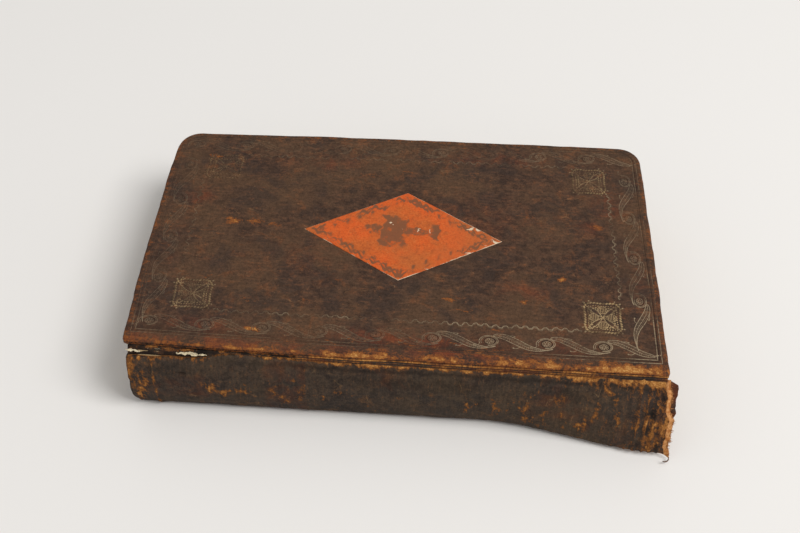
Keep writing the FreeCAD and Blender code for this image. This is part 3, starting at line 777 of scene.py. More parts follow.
def buildStrokes(name, lines, material, sides=5):
    # Each line: points (n, 3) in millimetres, half thickness (n or one number), and values by attribute name
    points, edges, thick, values = [], [], [], {}
    first = 0
    for line, half, marks in lines:
        count = len(line)
        points.append(line)
        edges += [(first + k, first + k + 1) for k in range(count - 1)]
        thick.append(np.broadcast_to(half, count) * mm)
        for key, number in marks.items():
            values.setdefault(key, []).append(np.broadcast_to(number, count))
        first += count
    mesh = bpy.data.meshes.new(name + "Lines")
    mesh.from_pydata((np.concatenate(points) * mm).tolist(), edges, [])
    floatLayer(mesh, "thick", np.concatenate(thick))
    for key, numbers in values.items():
        floatLayer(mesh, key, np.concatenate(numbers))
    return runGroup(name, mesh, strokesGroup, {"Sides": sides, "Finish": material})


def buildGrains(name, grains, material, detail=1):
    # Each grain: place (3), size (3), turn about z, and values by attribute name
    mesh = bpy.data.meshes.new(name + "Points")
    mesh.from_pydata((np.array([grain[0] for grain in grains]) * mm).tolist(), [], [])
    vectorLayer(mesh, "size", np.array([grain[1] for grain in grains]) * mm)
    vectorLayer(mesh, "turn", np.array([(0, 0, grain[2]) for grain in grains]))
    for key in grains[0][3]:
        floatLayer(mesh, key, [grain[3][key] for grain in grains])
    return runGroup(name, mesh, grainsGroup, {"Detail": detail, "Finish": material})


# Blind tooling of the front cover: a running scroll, wavy lines, corner blocks and fillets

toolShape = {
    "sink": 0.6, "fine": 0.16, "hair": 0.13, "flat": 0.84,
    "xBand": 76.0, "yNear": -41.2, "yFar": 44.0,
    "longPitch": 17.45, "longStart": 63.6, "longCount": 9, "lastShort": 2.2,
    "shortPitch": 18.3, "shortStart": 33.1, "shortCount": 4,
    "xLine": 69.9, "yLineNear": -35.0, "yLineFar": 39.0, "wavePeriod": 3.1, "waveSwing": 0.5, "waveGap": 1.0,
    "waveStep": 0.3, "blockX": 11.8, "blockY": 12.4,
    # How clearly it shows: everywhere, more at the tail, near the spine and where the two meet
    "clear": (0.19, 0.20, 0.15, 0.48),
    # Lines of a curl: first radius, last radius, strength. Strands of a wavy line: shift, strength
    "curlTurn": (205, -105), "curls": [(3.15, 2.1, 1.25), (2.6, 1.75, 0.9)], "waveStrands": [(0.0, 2.0), (-0.42, 0.6)],
    "stem": [(1.2, 2.75), (4.4, 2.3), (8.0, 0.3), (11.4, -1.9), (14.6, -2.85)],
    "tendrils": [
        [(-3.1, -1.2), (-3.9, -2.2), (-4.9, -2.0)], [(5.4, 2.6), (6.6, 3.1), (7.6, 2.7)],
        [(9.4, -1.6), (8.4, -2.7), (7.2, -2.6)],
    ],
    # Beads round a corner block: inset, length, width, count. Sprigs: spread, reach, size
    "beadRings": [(0.0, 0.72, 0.44, 42), (1.2, 0.36, 0.26, 42), (2.1, 0.52, 0.32, 28)],
    "sprigs": [(0.0, 2.1, 0.6), (0.22, 1.7, 0.45), (-0.22, 1.7, 0.45)],
    # Corner blocks: x, y, how clear they are. Fillets: inset, half thickness, light, dark
    "blocks": [(63.9, -29.5, 0.95), (-64.5, -28.5, 0.42), (63.4, 32.3, 0.42), (-64.0, 32.5, 0.16)],
    "fillets": [(2.1, 0.2, 0.55, 0.0), (2.8, 0.3, 0.0, 0.7), (3.4, 0.22, 0.65, 0.0)],
}
plainMarks = {"line": 0.0, "gilt": 0.0, "wear": 0.0, "red": 0.0, "ink": 0.0, "raw": 0.0}


def toolStrength(x, y):
    # How clearly the tooling still shows: sharp near the tail's front corner, faint at the head and fore-edge
    right = softStep(x, -20, 60)
    near = 1 - softStep(y, -36, 10)
    everywhere, tailward, spineward, both = toolShape["clear"]
    base = everywhere + tailward * right + spineward * near + both * right * near
    base = base + 0.06 * softStep(y, 20, 40) * softStep(x, 40, 60)
    return np.clip(base * (0.85 + 0.55 * layeredNoise(x, y, 9, 111)), 0.04, 1.1)


def onCover(x, y, half):
    # A place on the cover's uneven face, sunk so that only the crest of the stroke shows
    x, y = np.asarray(x, float), np.asarray(y, float)
    z = topLevel + coverHeight(x, y) - half * toolShape["sink"]
    return np.stack([*coverWarp(x, y), z], -1)


def coverStroke(x, y, half, strength=1.0, gilt=0.0, ink=0.0):
    x, y = np.broadcast_arrays(np.asarray(x, float), np.asarray(y, float))
    clear = toolStrength(x, y)
    return onCover(x, y, half), half, {**plainMarks, "line": clear * strength, "gilt": gilt, "ink": clear * ink}


def turned(points, x0, y0, angle):
    c, s = math.cos(angle), math.sin(angle)
    points = np.asarray(points, float)
    return x0 + c * points[:, 0] - s * points[:, 1], y0 + s * points[:, 0] + c * points[:, 1]


def alongPath(keys, count):
    # A smooth line through a few key points
    keys = np.asarray(keys, float)
    t = np.linspace(0, len(keys) - 1, count)
    k = np.clip(t.astype(int), 0, len(keys) - 2)
    f = (t - k)[:, None]
    before = keys[np.clip(k - 1, 0, len(keys) - 1)]
    after = keys[np.clip(k + 2, 0, len(keys) - 1)]
    a, b = keys[k], keys[k + 1]
    square, cube = 2 * before - 5 * a + 4 * b - after, 3 * a - before - 3 * b + after
    return 0.5 * (2 * a + (b - before) * f + square * f ** 2 + cube * f ** 3)


def ovalLine(radiusX, radiusY, count):
    turn = np.linspace(0, 2 * math.pi, count)
    return np.stack([radiusX * np.cos(turn), radiusY * np.sin(turn)], -1)


def scrollUnit(x0, y0, angle, pitch):
    # One curl with its rosette and the feathered leaf that runs on under the next curl
    t = toolShape
    strokes, grains = [], []

    def add(points, half=t["fine"], strength=1.0, ink=0.0):
        x, y = turned(np.asarray(points, float) * (1, t["flat"]), x0, y0, angle)
        strokes.append(coverStroke(x, y, half, strength, 0.0, ink))

    def ball(px, py, size):
        x, y = turned([(px, py * t["flat"])], x0, y0, angle)
        marks = {**plainMarks, "line": float(toolStrength(x[0], y[0])), "gilt": 0.1}
        grains.append((onCover(x[0], y[0], 0.1), (size, size, 0.14), 0.0, marks))

    turns = np.radians(np.linspace(*t["curlTurn"], 28))
    share = np.linspace(0, 1, 28)
    for radius, last, strength in t["curls"]:
        reach = radius + (last - radius) * share
        add(np.stack([reach * np.cos(turns) * 1.05, reach * np.sin(turns) * 0.92], -1), t["fine"], strength)
    add(ovalLine(1.75, 1.6, 21), 0.2, 0.0, 0.8)
    add(ovalLine(1.36, 1.26, 21), t["hair"], 0.9)
    for turn in np.arange(8) * math.pi / 4:
        add([(0.35 * math.cos(turn), 0.35 * math.sin(turn)), (1.2 * math.cos(turn), 1.1 * math.sin(turn))], 0.18, 1.15)
    middle = alongPath(t["stem"] + [(pitch, -2.75), (pitch + 1.8, -2.2)], 34)
    direction = np.gradient(middle, axis=0)
    direction /= np.linalg.norm(direction, axis=1)[:, None]
    normal = np.stack([-direction[:, 1], direction[:, 0]], -1)
    half = 1.15 * np.sin(np.pi * np.clip(np.linspace(0.0, 1.25, 34), 0, 1) ** 0.75) ** 0.8 + 0.08
    add(middle + normal * half[:, None], t["fine"], 1.25)
    add(middle - normal * half[:, None], t["fine"], 1.25)
    add(middle[1:28], t["hair"], 0.9)
    for k in range(3, 25):
        for side in (1, -1):
            tip = middle[k] + direction[k] * 0.75 + normal[k] * side * half[k] * 0.8
            add(np.stack([middle[k], tip]), 0.1, 0.65)
    for path in t["tendrils"]:
        add(alongPath(path, 7), 0.14, 0.9)
        ball(path[-1][0], path[-1][1], 0.36)
    return strokes, grains


def waveLine(x0, y0, x1, y1):
    # A wavy line of scallops, each drawn twice side by side
    t = toolShape
    length = math.hypot(x1 - x0, y1 - y0)
    count = int(length / t["waveStep"])
    u = np.linspace(0, length, count)
    phase = u / t["wavePeriod"] * 2 * math.pi
    v = t["waveSwing"] * np.sin(phase) + 0.35 * softNoise(u, u * 0, 1.6, 115) + 0.12 * np.sin(3 * phase + 0.6)
    angle = math.atan2(y1 - y0, x1 - x0)
    lines = []
    for shift, strength in t["waveStrands"]:
        x, y = turned(np.stack([u, v + shift], -1), x0, y0, angle)
        broken = np.clip(0.85 + 0.6 * softNoise(x, y, 3.2, 117), 0.25, 1.25)
        lines.append(coverStroke(x, y, t["fine"], strength * broken))
    return lines


def cornerBlock(x0, y0, clear):
    # A roped square with beaded leaves from corner to corner, hatched discs between them and sprigs outside
    t = toolShape
    strokes, grains = [], []

    def bead(x, y, long, wide, turn=0.0, gilt=0.9):
        patchy = clear * (0.85 + 0.8 * float(layeredNoise(np.array([x]), np.array([y]), 3.0, 121)[0]))
        grains.append((onCover(x, y, 0.14), (long, wide, 0.22), turn, {**plainMarks, "line": patchy, "gilt": gilt}))

    hx, hy = t["blockX"] / 2, t["blockY"] / 2
    around = np.linspace(0, 2 * math.pi, 361)
    for inset, long, wide, count in t["beadRings"]:
        pinch = 1 - 0.07 * np.cos(2 * around) ** 8
        rx = (hx - inset) * pinch * np.sign(np.cos(around)) * np.abs(np.cos(around)) ** 0.5
        ry = (hy - inset) * pinch * np.sign(np.sin(around)) * np.abs(np.sin(around)) ** 0.5
        run = np.concatenate([[0], np.cumsum(np.hypot(np.diff(rx), np.diff(ry)))])
        places = np.linspace(0, run[-1], count, endpoint=False)
        bx, by = np.interp(places, run, rx), np.interp(places, run, ry)
        for k in range(count):
            ahead = math.atan2(by[(k + 1) % count] - by[k - 1], bx[(k + 1) % count] - bx[k - 1])
            bead(x0 + bx[k], y0 + by[k], long, wide, ahead + 0.55)
    for number in range(4):
        turn = math.radians(45 + 90 * number)
        c, s = math.cos(turn), math.sin(turn)
        for k in range(10):
            reach = 0.7 + 0.62 * k
            wide = 0.75 * math.sin(math.pi * (k + 0.8) / 11.0)
            for side in (1, -1):
                x, y = x0 + c * reach - s * side * wide, y0 + s * reach + c * side * wide
                bead(x, y, 0.48, 0.27, turn + side * 0.6, 0.6)
        for spread, reach, size in t["sprigs"]:
            c2, s2 = math.cos(turn + spread), math.sin(turn + spread)
            bead(x0 + c2 * (hx + reach), y0 + s2 * (hy + reach), size, size * 0.7, turn + spread, 0.4)
        side = math.radians(90 * number)
        cx, cy = x0 + math.cos(side) * (hx - 3.1), y0 + math.sin(side) * (hy - 3.1)
        ring = ovalLine(1.55, 1.5, 17)
        strokes.append(coverStroke(cx + ring[:, 0], cy + ring[:, 1], 0.16, clear / 0.7, 0.7))
        for k in range(-2, 3):
            chord = 1.2 * math.sqrt(max(1 - (k / 2.7) ** 2, 0.05))
            line = np.linspace(-chord, chord, 4)
            strokes.append(coverStroke(cx + k * 0.52, cy + line, 0.15, clear / 0.7, 0.8))
    bead(x0, y0, 0.6, 0.6, 0.0, 0.8)
    return strokes, grains


def filletLine(inset, half, strength, ink):
    # A straight line that runs round the cover inside its edge
    x1, yNear, yFar, corner = halfLength - inset, spineEdge + inset + 1.6, foreEdge - inset, 8.0 - inset
    path = [(-x1, yNear), (x1, yNear), (x1, yFar - corner)]
    turns = np.radians(np.linspace(0, 90, 7))[1:]
    path += [(x1 - corner + corner * math.cos(a), yFar - corner + corner * math.sin(a)) for a in turns]
    path += [(-x1 + corner, yFar)]
    turns = turns + math.pi / 2
    path += [(-x1 + corner + corner * math.cos(a), yFar - corner + corner * math.sin(a)) for a in turns]
    path += [(-x1, yNear)]
    x, y = np.array(finerPath(path, 2) + [path[-1]]).T
    broken = np.clip(0.6 + 0.8 * layeredNoise(x, y, 11, 119), 0.05, 1.1)
    atTail = softStep(x, 70, 79)
    return coverStroke(x, y, half, strength * broken * (1 + 0.9 * atTail), 0.0, ink * (0.4 + 0.6 * atTail))


def buildTooling():
    t = toolShape
    strokes, grains = [], []
    units = []
    for k in range(t["longCount"]):
        x, pitch = t["longStart"] - t["longPitch"] * k, t["longPitch"] - (t["lastShort"] if k == 0 else 0.0)
        units += [scrollUnit(x, y, 0.0, pitch) for y in (t["yNear"], t["yFar"])]
    for k in range(t["shortCount"]):
        y = t["shortStart"] - t["shortPitch"] * k
        units += [scrollUnit(x, y, -math.pi / 2, t["shortPitch"]) for x in (t["xBand"], -t["xBand"])]
    units += [cornerBlock(*block) for block in t["blocks"]]
    for newStrokes, newGrains in units:
        strokes += newStrokes
        grains += newGrains
    x, low, high = t["xLine"], t["yLineNear"], t["yLineFar"]
    bx, by = t["blockX"] + t["waveGap"], t["blockY"] + t["waveGap"]
    for y in (low, high):
        strokes += waveLine(bx - x, y, x - bx, y)
    for side in (x, -x):
        strokes += waveLine(side, low + by, side, high - by)
    strokes += [filletLine(*fillet) for fillet in t["fillets"]]
    lines = buildStrokes("toolingLines", strokes, coverLeather, 5)
    beads = buildGrains("toolingBeads", grains, coverLeather, 1)
    for piece in (lines, beads):
        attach(piece, "front_cover")


buildTooling()
print("stage: tooling")


# Lozenge of orange leather with its dark stamped border and worn middle


def onlayMaterial():
    material, tree, surface = newMaterial("onlayLeather")
    place = objectPlace(tree)
    broad = noise(tree, place, 9, 3.0)
    blotch = noise(tree, place, 2.2, 4.0, 0.6, 0.5)
    fine = noise(tree, place, 0.55, 3.0, 0.6)
    ink = within(tree, frayed(tree, attributeValue(tree, "ink"), fine, 1.3), 0.22, 0.78)
    chip = within(tree, frayed(tree, attributeValue(tree, "chip"), fine, 0.8), 0.45, 0.65)
    colour = mixTone(tree, within(tree, broad, 0.38, 0.66), onlayLook["bright"], onlayLook["dim"])
    colour = tinted(tree, colour, (
        (within(tree, blotch, 0.48, 0.72), 0.6, onlayLook["blotch"]),
        (within(tree, fine, 0.5, 0.7), 0.5, onlayLook["speck"]),
        (within(tree, fine, 0.48, 0.3), 0.6, onlayLook["pore"]), (attributeValue(tree, "dull"), 0.6, onlayLook["dull"]),
        (ink, 0.86, onlayLook["ink"]), (chip, 1.0, onlayLook["chip"]),
    ))
    height = weighted(tree, 0.0, ((fine, 0.8), (ink, -0.5)))
    finishSurface(tree, surface, colour, 0.55, 0.18, bumpFrom(tree, height, 0.09, 0.9))
    return material


onlayLook = {
    "bright": tone(206, 88, 32), "dim": tone(186, 92, 38), "blotch": tone(156, 76, 36), "speck": tone(214, 116, 58),
    "pore": tone(146, 68, 32), "dull": tone(160, 96, 52), "ink": tone(110, 74, 50), "chip": tone(214, 190, 160),
}
onlayLeather = onlayMaterial()


def lozengeValues(u, v, depth):
    # Ink of the border and of the middle figure, dulled grain and pale chips
    s = lozengeShape
    side = math.hypot(s["halfLong"], s["halfWide"])
    along = np.where(u * v > 0, 1, -1) * (u / s["halfLong"]) * side
    wobble = 0.5 * layeredNoise(u, v, 2.4, 131)
    wave = 2 * math.pi * along / 4.6
    strandOne = np.exp(-((depth - 2.0 - 0.8 * np.sin(wave) - 0.6 * wobble) / 0.7) ** 2)
    strandTwo = 0.8 * np.exp(-((depth - 2.3 + 0.9 * np.sin(wave + 0.7) - 0.6 * wobble) / 0.5) ** 2)
    leaf = np.exp(-(((depth - 3.1 - 0.5 * wobble) / 1.2) ** 2 + (np.sin(wave / 2 + 0.4) / 0.6) ** 2))
    patchy = 0.72 + 0.75 * layeredNoise(u, v, 3.6, 147)
    border = np.maximum(np.maximum(strandOne, strandTwo) * patchy, leaf * (0.8 + 0.5 * wobble))
    wu, wv = u + 1.3 * layeredNoise(u, v, 3.2, 133), v + 1.3 * layeredNoise(u, v, 3.2, 135)
    middle = 1 - softStep(np.maximum(np.abs(wu + 3.0) / 4.6, np.abs(wv - 1.4) / 7.2), 0.75, 1.15)
    lobe = 1 - softStep(np.hypot((wu + 9.8) / 2.6, (wv - 2.2) / 2.3), 0.5, 1.15)
    neck = 1 - softStep(np.maximum(np.abs(wu - 4.5) / 4.8, np.abs(wv - 1.8) / 1.9), 0.6, 1.15)
    bowHalf = 1.6 + 0.8 * np.abs(wu - 7.4)
    bow = 1 - softStep(np.maximum(np.abs(wu - 9.8) / 2.6, np.abs(wv - 1.9) / bowHalf), 0.6, 1.15)
    figure = np.maximum(np.maximum(middle, lobe), np.maximum(neck, bow))
    figure = figure * (0.78 + 0.35 * layeredNoise(u, v, 2.2, 137))
    ink = np.clip(np.maximum(border, figure), 0, 1.1)
    dull = softStep(u, 6, 26) * 0.6 + 0.35 * softStep(layeredNoise(u, v, 7, 139), 0.2, 0.9)
    chip = spotField(u, v, s["chips"], 141)
    rim = np.exp(-depth / 0.22) * (0.45 + 0.35 * softStep(u - 0.4 * v, -5, 18) + 0.4 * layeredNoise(u, v, 4, 143))
    return {"ink": ink, "dull": np.clip(dull, 0, 1), "chip": np.clip(np.maximum(chip, rim), 0, 1)}


def buildLozenge():
    s = lozengeShape
    side = math.hypot(s["halfLong"], s["halfWide"])
    count = int(side / s["cell"])
    line = np.linspace(-1, 1, count)
    a, b = np.meshgrid(line, line, indexing="ij")
    u, v = s["halfLong"] * (a + b) / 2, s["halfWide"] * (a - b) / 2
    depth = (1 - np.maximum(np.abs(a), np.abs(b))) * s["halfLong"] * s["halfWide"] / side
    fray = 0.22 * layeredNoise(u, v, 2.6, 145) * np.exp(-depth / 0.5)
    u = u * (1 - np.abs(fray) * 0.02) - np.sign(u) * 0.15 * np.abs(fray)
    v = v - np.sign(v) * 0.3 * np.abs(fray)
    c, n = math.cos(s["turn"]), math.sin(s["turn"])
    x, y = s["x"] + c * u - n * v, s["y"] + n * u + c * v
    values = lozengeValues(u, v, depth)
    ground = coverHeight(x, y) + lozengeRecess(x, y)
    top = topLevel + 0.02 + 0.5 * ground - 0.05 * np.clip(values["ink"], 0, 1) - 0.08 * values["chip"]
    top = np.minimum(top - 0.06 * np.exp(-depth / 0.2), lozengeHigh[2] - 0.01)
    low = np.full(top.shape, topLevel - s["thick"])
    layers = [(*coverWarp(x, y), z) for z in (top, low)]
    piece = makeSheet("lozengeSkin", layers, onlayLeather, values, flip=True)
    tidyMesh(piece)
    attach(piece, "front_cover")
    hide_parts("cover_lozenge")


buildLozenge()
print("stage: lozenge")


# Spine leather: one skin whose outline is torn, in a grid of places along x and shares down the spine

spineShape = {
    "stepX": 0.55, "rows": 62, "wall": 1.1, "glue": 0.1, "splitEnd": 24.5, "splitSlope": 7.0, "splitDrop": 2.4,
    "flareStart": 56.0, "flareReach": 9.0, "flareDrop": 0.3, "midShare": 0.38, "tornReach": 4.4, "tipLength": 3.0,
    "tipReach": 2.2, "tipDrop": 0.8, "bevel": 1.7, "headCorner": 5.5, "slit": (-65.2, 18.8, 1.3, 0.42),
    "upperSetIn": 0.9, "lowerSetIn": 1.1, "ragged": 0.30, "sag": 0.5, "sagReach": 6, "headRagged": 0.20,
    "tornRagged": 0.22, "tornLevels": [0.0, 2.2, 4.5, 9.5, 14.6, 17.2, 22.0, 26.8, 30.0],
    "tornReaches": [4.2, 3.6, 2.9, 2.9, 3.3, 2.0, 1.8, 0.5, 0.4],
    # Raised lines across the back: x, width, height
    "ribs": [
        (-80.4, 1.2, 0.35), (-74.2, 1.4, 0.45), (-27.2, 1.2, 0.2),
        (72.6, 0.9, 0.3), (75.2, 0.9, 0.45), (77.9, 0.9, 0.5),
        (80.3, 0.9, 0.45), (82.6, 1.0, 0.4),
    ],
}
headEnd = spineLow[0]
tailEnd = halfLength + spineShape["tornReach"]
upperJoint = spineHigh[2]
lowerJoint = coverShape["backLip"] + 0.4
blockHalf = (blockHigh[2] - blockLow[2]) / 2
shoulder = flyLow[1]
bulge = shoulder - blockLow[1]
arcRadius = (blockHalf ** 2 + bulge ** 2) / (2 * bulge)
arcAxis = blockLow[1] + arcRadius
hugRadius = arcRadius + (blockLow[1] - liningLow[1]) + spineShape["glue"]


def arcY(radius, z):
    return arcAxis - np.sqrt(radius ** 2 - np.clip(z - midLevel, -radius * 0.9, radius * 0.9) ** 2)


def flareShare(x):
    start = halfLength - spineShape["flareStart"]
    return softStep(x, start, tailEnd - spineShape["tipLength"])


def tipShare(x):
    return np.maximum(x - (tailEnd - spineShape["tipLength"]), 0) / spineShape["tipLength"]


def spineUpper(x):
    s = spineShape
    rise = softStep(x, headEnd + s["splitEnd"] - 2, headEnd + s["splitEnd"] + s["splitSlope"])
    ragged = s["ragged"] * layeredNoise(x, x * 0 + 3.0, 5.0, 71) * (0.5 + 0.5 * (1 - rise))
    sagging = s["sag"] * softStep(x, halfLength - s["sagReach"], tailEnd)
    return upperJoint - 0.15 - s["splitDrop"] * (1 - rise) + ragged - sagging


def spineLower(x):
    s = spineShape
    return lowerJoint - s["flareDrop"] * flareShare(x) - s["tipDrop"] * tipShare(x) - 0.9 * (1 - flareShare(x))


def spineOuter(x, z, top, bottom):
    # The outer face's y at a place and level: a parabola through the upper edge, middle and lower edge
    s = spineShape
    spread = s["flareReach"] * flareShare(x) + s["tipReach"] * tipShare(x)
    yTop = arcY(hugRadius, np.minimum(top, blockHigh[2])) - s["upperSetIn"]
    yMid = arcY(hugRadius, midLevel) - s["wall"] - s["midShare"] * spread
    yLow = arcY(hugRadius, blockLow[2]) - s["lowerSetIn"] - spread
    a = (z - midLevel) * (z - bottom) / ((top - midLevel) * (top - bottom))
    b = (z - top) * (z - bottom) / ((midLevel - top) * (midLevel - bottom))
    c = (z - top) * (z - midLevel) / ((bottom - top) * (bottom - midLevel))
    return yTop * a + yMid * b + yLow * c


def tornEdge(z):
    # How far the torn tail reaches at each level
    s = spineShape
    ragged = s["tornRagged"] * layeredNoise(z, z * 0 + 9.0, 1.6, 77)
    return halfLength + np.interp(z, s["tornLevels"], s["tornReaches"]) + ragged


def headEdge(z):
    s = spineShape
    corner = np.clip(s["headCorner"] - (z - lowerJoint + 0.6), 0, s["headCorner"])
    rounded = s["headCorner"] - np.sqrt(np.maximum(s["headCorner"] ** 2 - corner ** 2, 0))
    ragged = s["headRagged"] * layeredNoise(z, z * 0 + 5.0, 2.4, 79)
    topFall = 1.2 * softStep(z, 21.5, 25.5)
    return headEnd + 0.1 + rounded + ragged + topFall


spineMarks = {
    # x, z, reach in x, reach in z, strength
    "rubs": [
        (-56.5, 13, 3.0, 2.6, 0.8), (-52, 10.5, 2.0, 2.4, 0.7), (-47, 12, 2.6, 3.0, 0.5), (-37, 13, 1.6, 4.0, 0.6),
        (-34, 9, 1.6, 3.4, 0.62), (-29.5, 12, 1.8, 4.4, 0.6), (-31, 19, 1.8, 1.4, 0.4), (-23, 11, 1.2, 3.0, 0.4),
        (-16, 14, 3.0, 1.0, 0.32), (-8, 8, 2.0, 1.2, 0.3), (3, 13, 2.6, 1.0, 0.3), (12, 17, 1.4, 1.0, 0.36),
        (23.6, 10, 0.7, 5.5, 0.66), (25.2, 13, 0.5, 3.0, 0.5), (31.6, 12, 0.8, 5.5, 0.85), (33.2, 8, 0.5, 3.0, 0.6),
        (36.1, 10, 0.7, 5.0, 0.7), (38.4, 14, 0.5, 3.6, 0.5), (40.5, 12, 1.0, 6.0, 0.9), (43.6, 9, 0.5, 3.4, 0.55),
        (46.8, 10, 0.8, 5.0, 0.75), (50.8, 13, 0.5, 3.2, 0.5), (54.4, 8, 0.6, 3.6, 0.6), (58.6, 9, 1.4, 3.8, 0.9),
        (62, 14, 0.9, 3.6, 0.65), (65.6, 8, 0.6, 4.0, 0.5), (69.0, 13, 0.6, 4.6, 0.6), (-78, 14, 2.0, 4.6, 0.72),
        (-79, 8, 1.8, 3.6, 0.85), (-81.3, 18, 1.0, 6.0, 0.75), (66, 22, 2.4, 1.6, 0.7), (82.5, 20, 2.4, 4.0, 0.45),
        (81, 13, 1.8, 3.0, 0.6), (80.5, 6, 2.2, 3.6, 0.85), (84, 12, 1.2, 9.0, 0.8), (77.2, 14, 0.6, 9.0, 0.6),
        (79.4, 18, 1.6, 2.4, 0.5), (74.0, 9, 0.5, 6.0, 0.5),
    ],
    "darks": [
        (81.2, 22.0, 1.1, 1.9, 0.9), (79.6, 16.4, 1.3, 1.9, 1.0), (78.6, 10.0, 1.3, 1.6, 1.0),
        (76.6, 4.6, 1.0, 1.6, 0.8),
        (83.0, 5.8, 0.9, 2.4, 0.7), (82.6, 24.2, 0.9, 1.6, 0.9), (-66, 18.7, 2.0, 0.8, 0.5), (-70, 20, 6, 3, 0.35),
        (0, 20, 16, 2.4, 0.45), (-12, 5, 14, 3.0, 0.35), (18, 20, 10, 3.0, 0.4), (52, 20, 8, 2.0, 0.4),
        (28, 12, 1.2, 6, 0.4),
    ],
}


def spineValues(x, z, top):
    slow = layeredNoise(x, z, 12, 81)
    quick = layeredNoise(x, z, 3.2, 83)
    small = layeredNoise(x, z, 1.1, 89)
    down = top - z
    along = softStep(x, -55, -22)
    brush = softStep(x, 44, 62) * (0.5 + 0.5 * layeredNoise(x * 3.2, z * 0.5, 2.4, 90))
    reach = 0.9 + 0.4 * slow + 0.5 * quick + 3.4 * brush
    edge = np.exp(-(np.maximum(down, 0) / np.maximum(reach, 0.35)) ** 2)
    edge = edge * (0.4 + 0.46 * along + 0.3 * quick + 0.4 * small)
    # Threads of worn grain that run down the back towards the tail
    threads = softStep(layeredNoise(x * 2.4, z * 0.35, 2.2, 92), 0.25, 1.1) * softStep(x, 14, 34) * (0.5 + 0.5 * slow)
    # Rubbed places break up into upright strokes
    strands = np.clip(0.92 + 0.55 * layeredNoise(x * 3.0, z * 0.5, 1.6, 86), 0, 1.35)
    rubs = spotField(x, z, spineMarks["rubs"], 85) * strands * (0.82 + 0.3 * small)
    wear = np.maximum(np.maximum(edge, 0.62 * threads), rubs) + 0.12 * small
    tail = softStep(x, 68, 78) * (0.24 + 0.2 * slow + 0.35 * layeredNoise(x * 3.4, z * 0.3, 1.8, 88))
    head = (1 - softStep(x, -82, -76)) * (0.36 + 0.3 * slow)
    ribs = np.zeros(np.shape(x))
    for place, width, height in spineShape["ribs"]:
        ribs = np.maximum(ribs, np.exp(-((x - place) / (0.32 * width)) ** 2) * min(1.0, height * 1.9))
    wear = np.maximum(np.maximum(wear, tail), np.maximum(head, 0.8 * ribs * (0.75 + 0.5 * quick)))
    brown = 0.35 * (softStep(x, -41, -39) - softStep(x, -27.5, -26.5))
    red = np.clip(0.35 * softStep(slow, 0.2, 1.0) + 0.5 * tail + brown, 0, 1)
    ink = spotField(x, z, spineMarks["darks"], 87)
    ink = np.maximum(ink, 0.6 * np.exp(-((down - 2.3 - quick * 0.5) / 0.8) ** 2) * along)
    return np.clip(wear * (1 - 0.85 * ink), 0, 1.2), red, ink


def buildSpine():
    s = spineShape
    count = int((tailEnd - headEnd) / s["stepX"])
    u, v = unitGrid(count, s["rows"])
    sheets = []
    for side in ("outer", "inner"):
        guess = headEnd + u * (halfLength + 2 - headEnd)
        for step in range(3):
            top, bottom = spineUpper(guess), spineLower(guess)
            z = top + (bottom - top) * v
            first, last = headEdge(z), tornEdge(z) - (s["bevel"] if side == "outer" else 0)
            guess = first + (last - first) * u
        x = guess
        top, bottom = spineUpper(x), spineLower(x)
        z = top + (bottom - top) * v
        y = spineOuter(x, z, top, bottom)
        if side == "outer":
            bump = 0.10 * layeredNoise(x, z, 7, 91) + 0.05 * softNoise(x, z, 1.6, 93)
            bump = bump + 0.10 * softStep(x, 20, 60) * softNoise(x * 3, z, 5, 94)
            for place, width, height in s["ribs"]:
                wander = place + 0.25 * softNoise(z, z * 0, 4, 95)
                bump = bump + height * np.exp(-((x - wander) / (0.42 * width)) ** 2)
            lipDrop = np.exp(-(top - z) / 0.5) * 0.55 + np.exp(-(z - bottom) / 0.5) * 0.45
            slitX, slitZ, slitLong, slitHigh = s["slit"]
            slit = np.exp(-(((x - slitX) / slitLong) ** 2 + ((z - slitZ) / slitHigh) ** 2) ** 2)
            y = y - bump + lipDrop + 0.7 * slit
        else:
            y = y + s["wall"] - 0.15
            inBlock = (z < blockHigh[2]) & (z > blockLow[2])
            y = np.where(inBlock, np.minimum(y, arcY(hugRadius - 0.05, z)), np.minimum(y, spineEdge + 0.45))
        sheets.append((x, y, z, top))
    parts, values = [], {"wear": [], "red": [], "ink": [], "raw": []}

    def addPart(points, **marks):
        parts.append(points)
        for key, number in marks.items():
            values[key].append(np.broadcast_to(number, len(points)))

    for number, (x, y, z, top) in enumerate(sheets):
        wear, red, ink = (value.ravel() for value in spineValues(x, z, top))
        grainSide = 1 - number
        points = np.stack([x, y, z], -1).reshape(-1, 3)
        addPart(points, wear=wear * grainSide, red=red, ink=ink * grainSide, raw=0.85 * number)
    total = count * s["rows"]
    faces = gridFaces(count, s["rows"]) + gridFaces(count, s["rows"], total, flip=True)
    outerRing = rimRing(count, s["rows"])
    # The torn rim is a slope of raw hide between the grain side and the flesh side
    previous = outerRing
    outerPoints, innerPoints = parts[0][outerRing], parts[1][outerRing]
    start = 2 * total
    for step in (0.04, 0.35, 0.7):
        line = outerPoints + (innerPoints - outerPoints) * step
        swell = 0.12 * np.sin(step * math.pi) + 0.10 * layeredNoise(line[:, 0], line[:, 2] + step * 9, 1.4, 99)
        line[:, 1] -= swell
        ring = list(range(start, start + len(outerRing)))
        start += len(outerRing)
        faces += bandFaces(previous, ring)
        previous = ring
        atTail = softStep(line[:, 0], halfLength - 1.5, halfLength + 0.6)
        addPart(line, wear=0.45, red=0.3, ink=0.35 * (1 - atTail), raw=atTail)
    faces += bandFaces(previous, [k + total for k in outerRing])
    marks = {key: np.concatenate(numbers) for key, numbers in values.items()}
    piece = makePiece("spineSkin", np.concatenate(parts), faces, spineLeather, marks)
    tidyMesh(piece)
    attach(piece, "book_block")
    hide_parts("spine_leather")


buildSpine()
print("stage: spine")


# Cracked joints: strips of leather outside and of paper inside that bridge each hinge

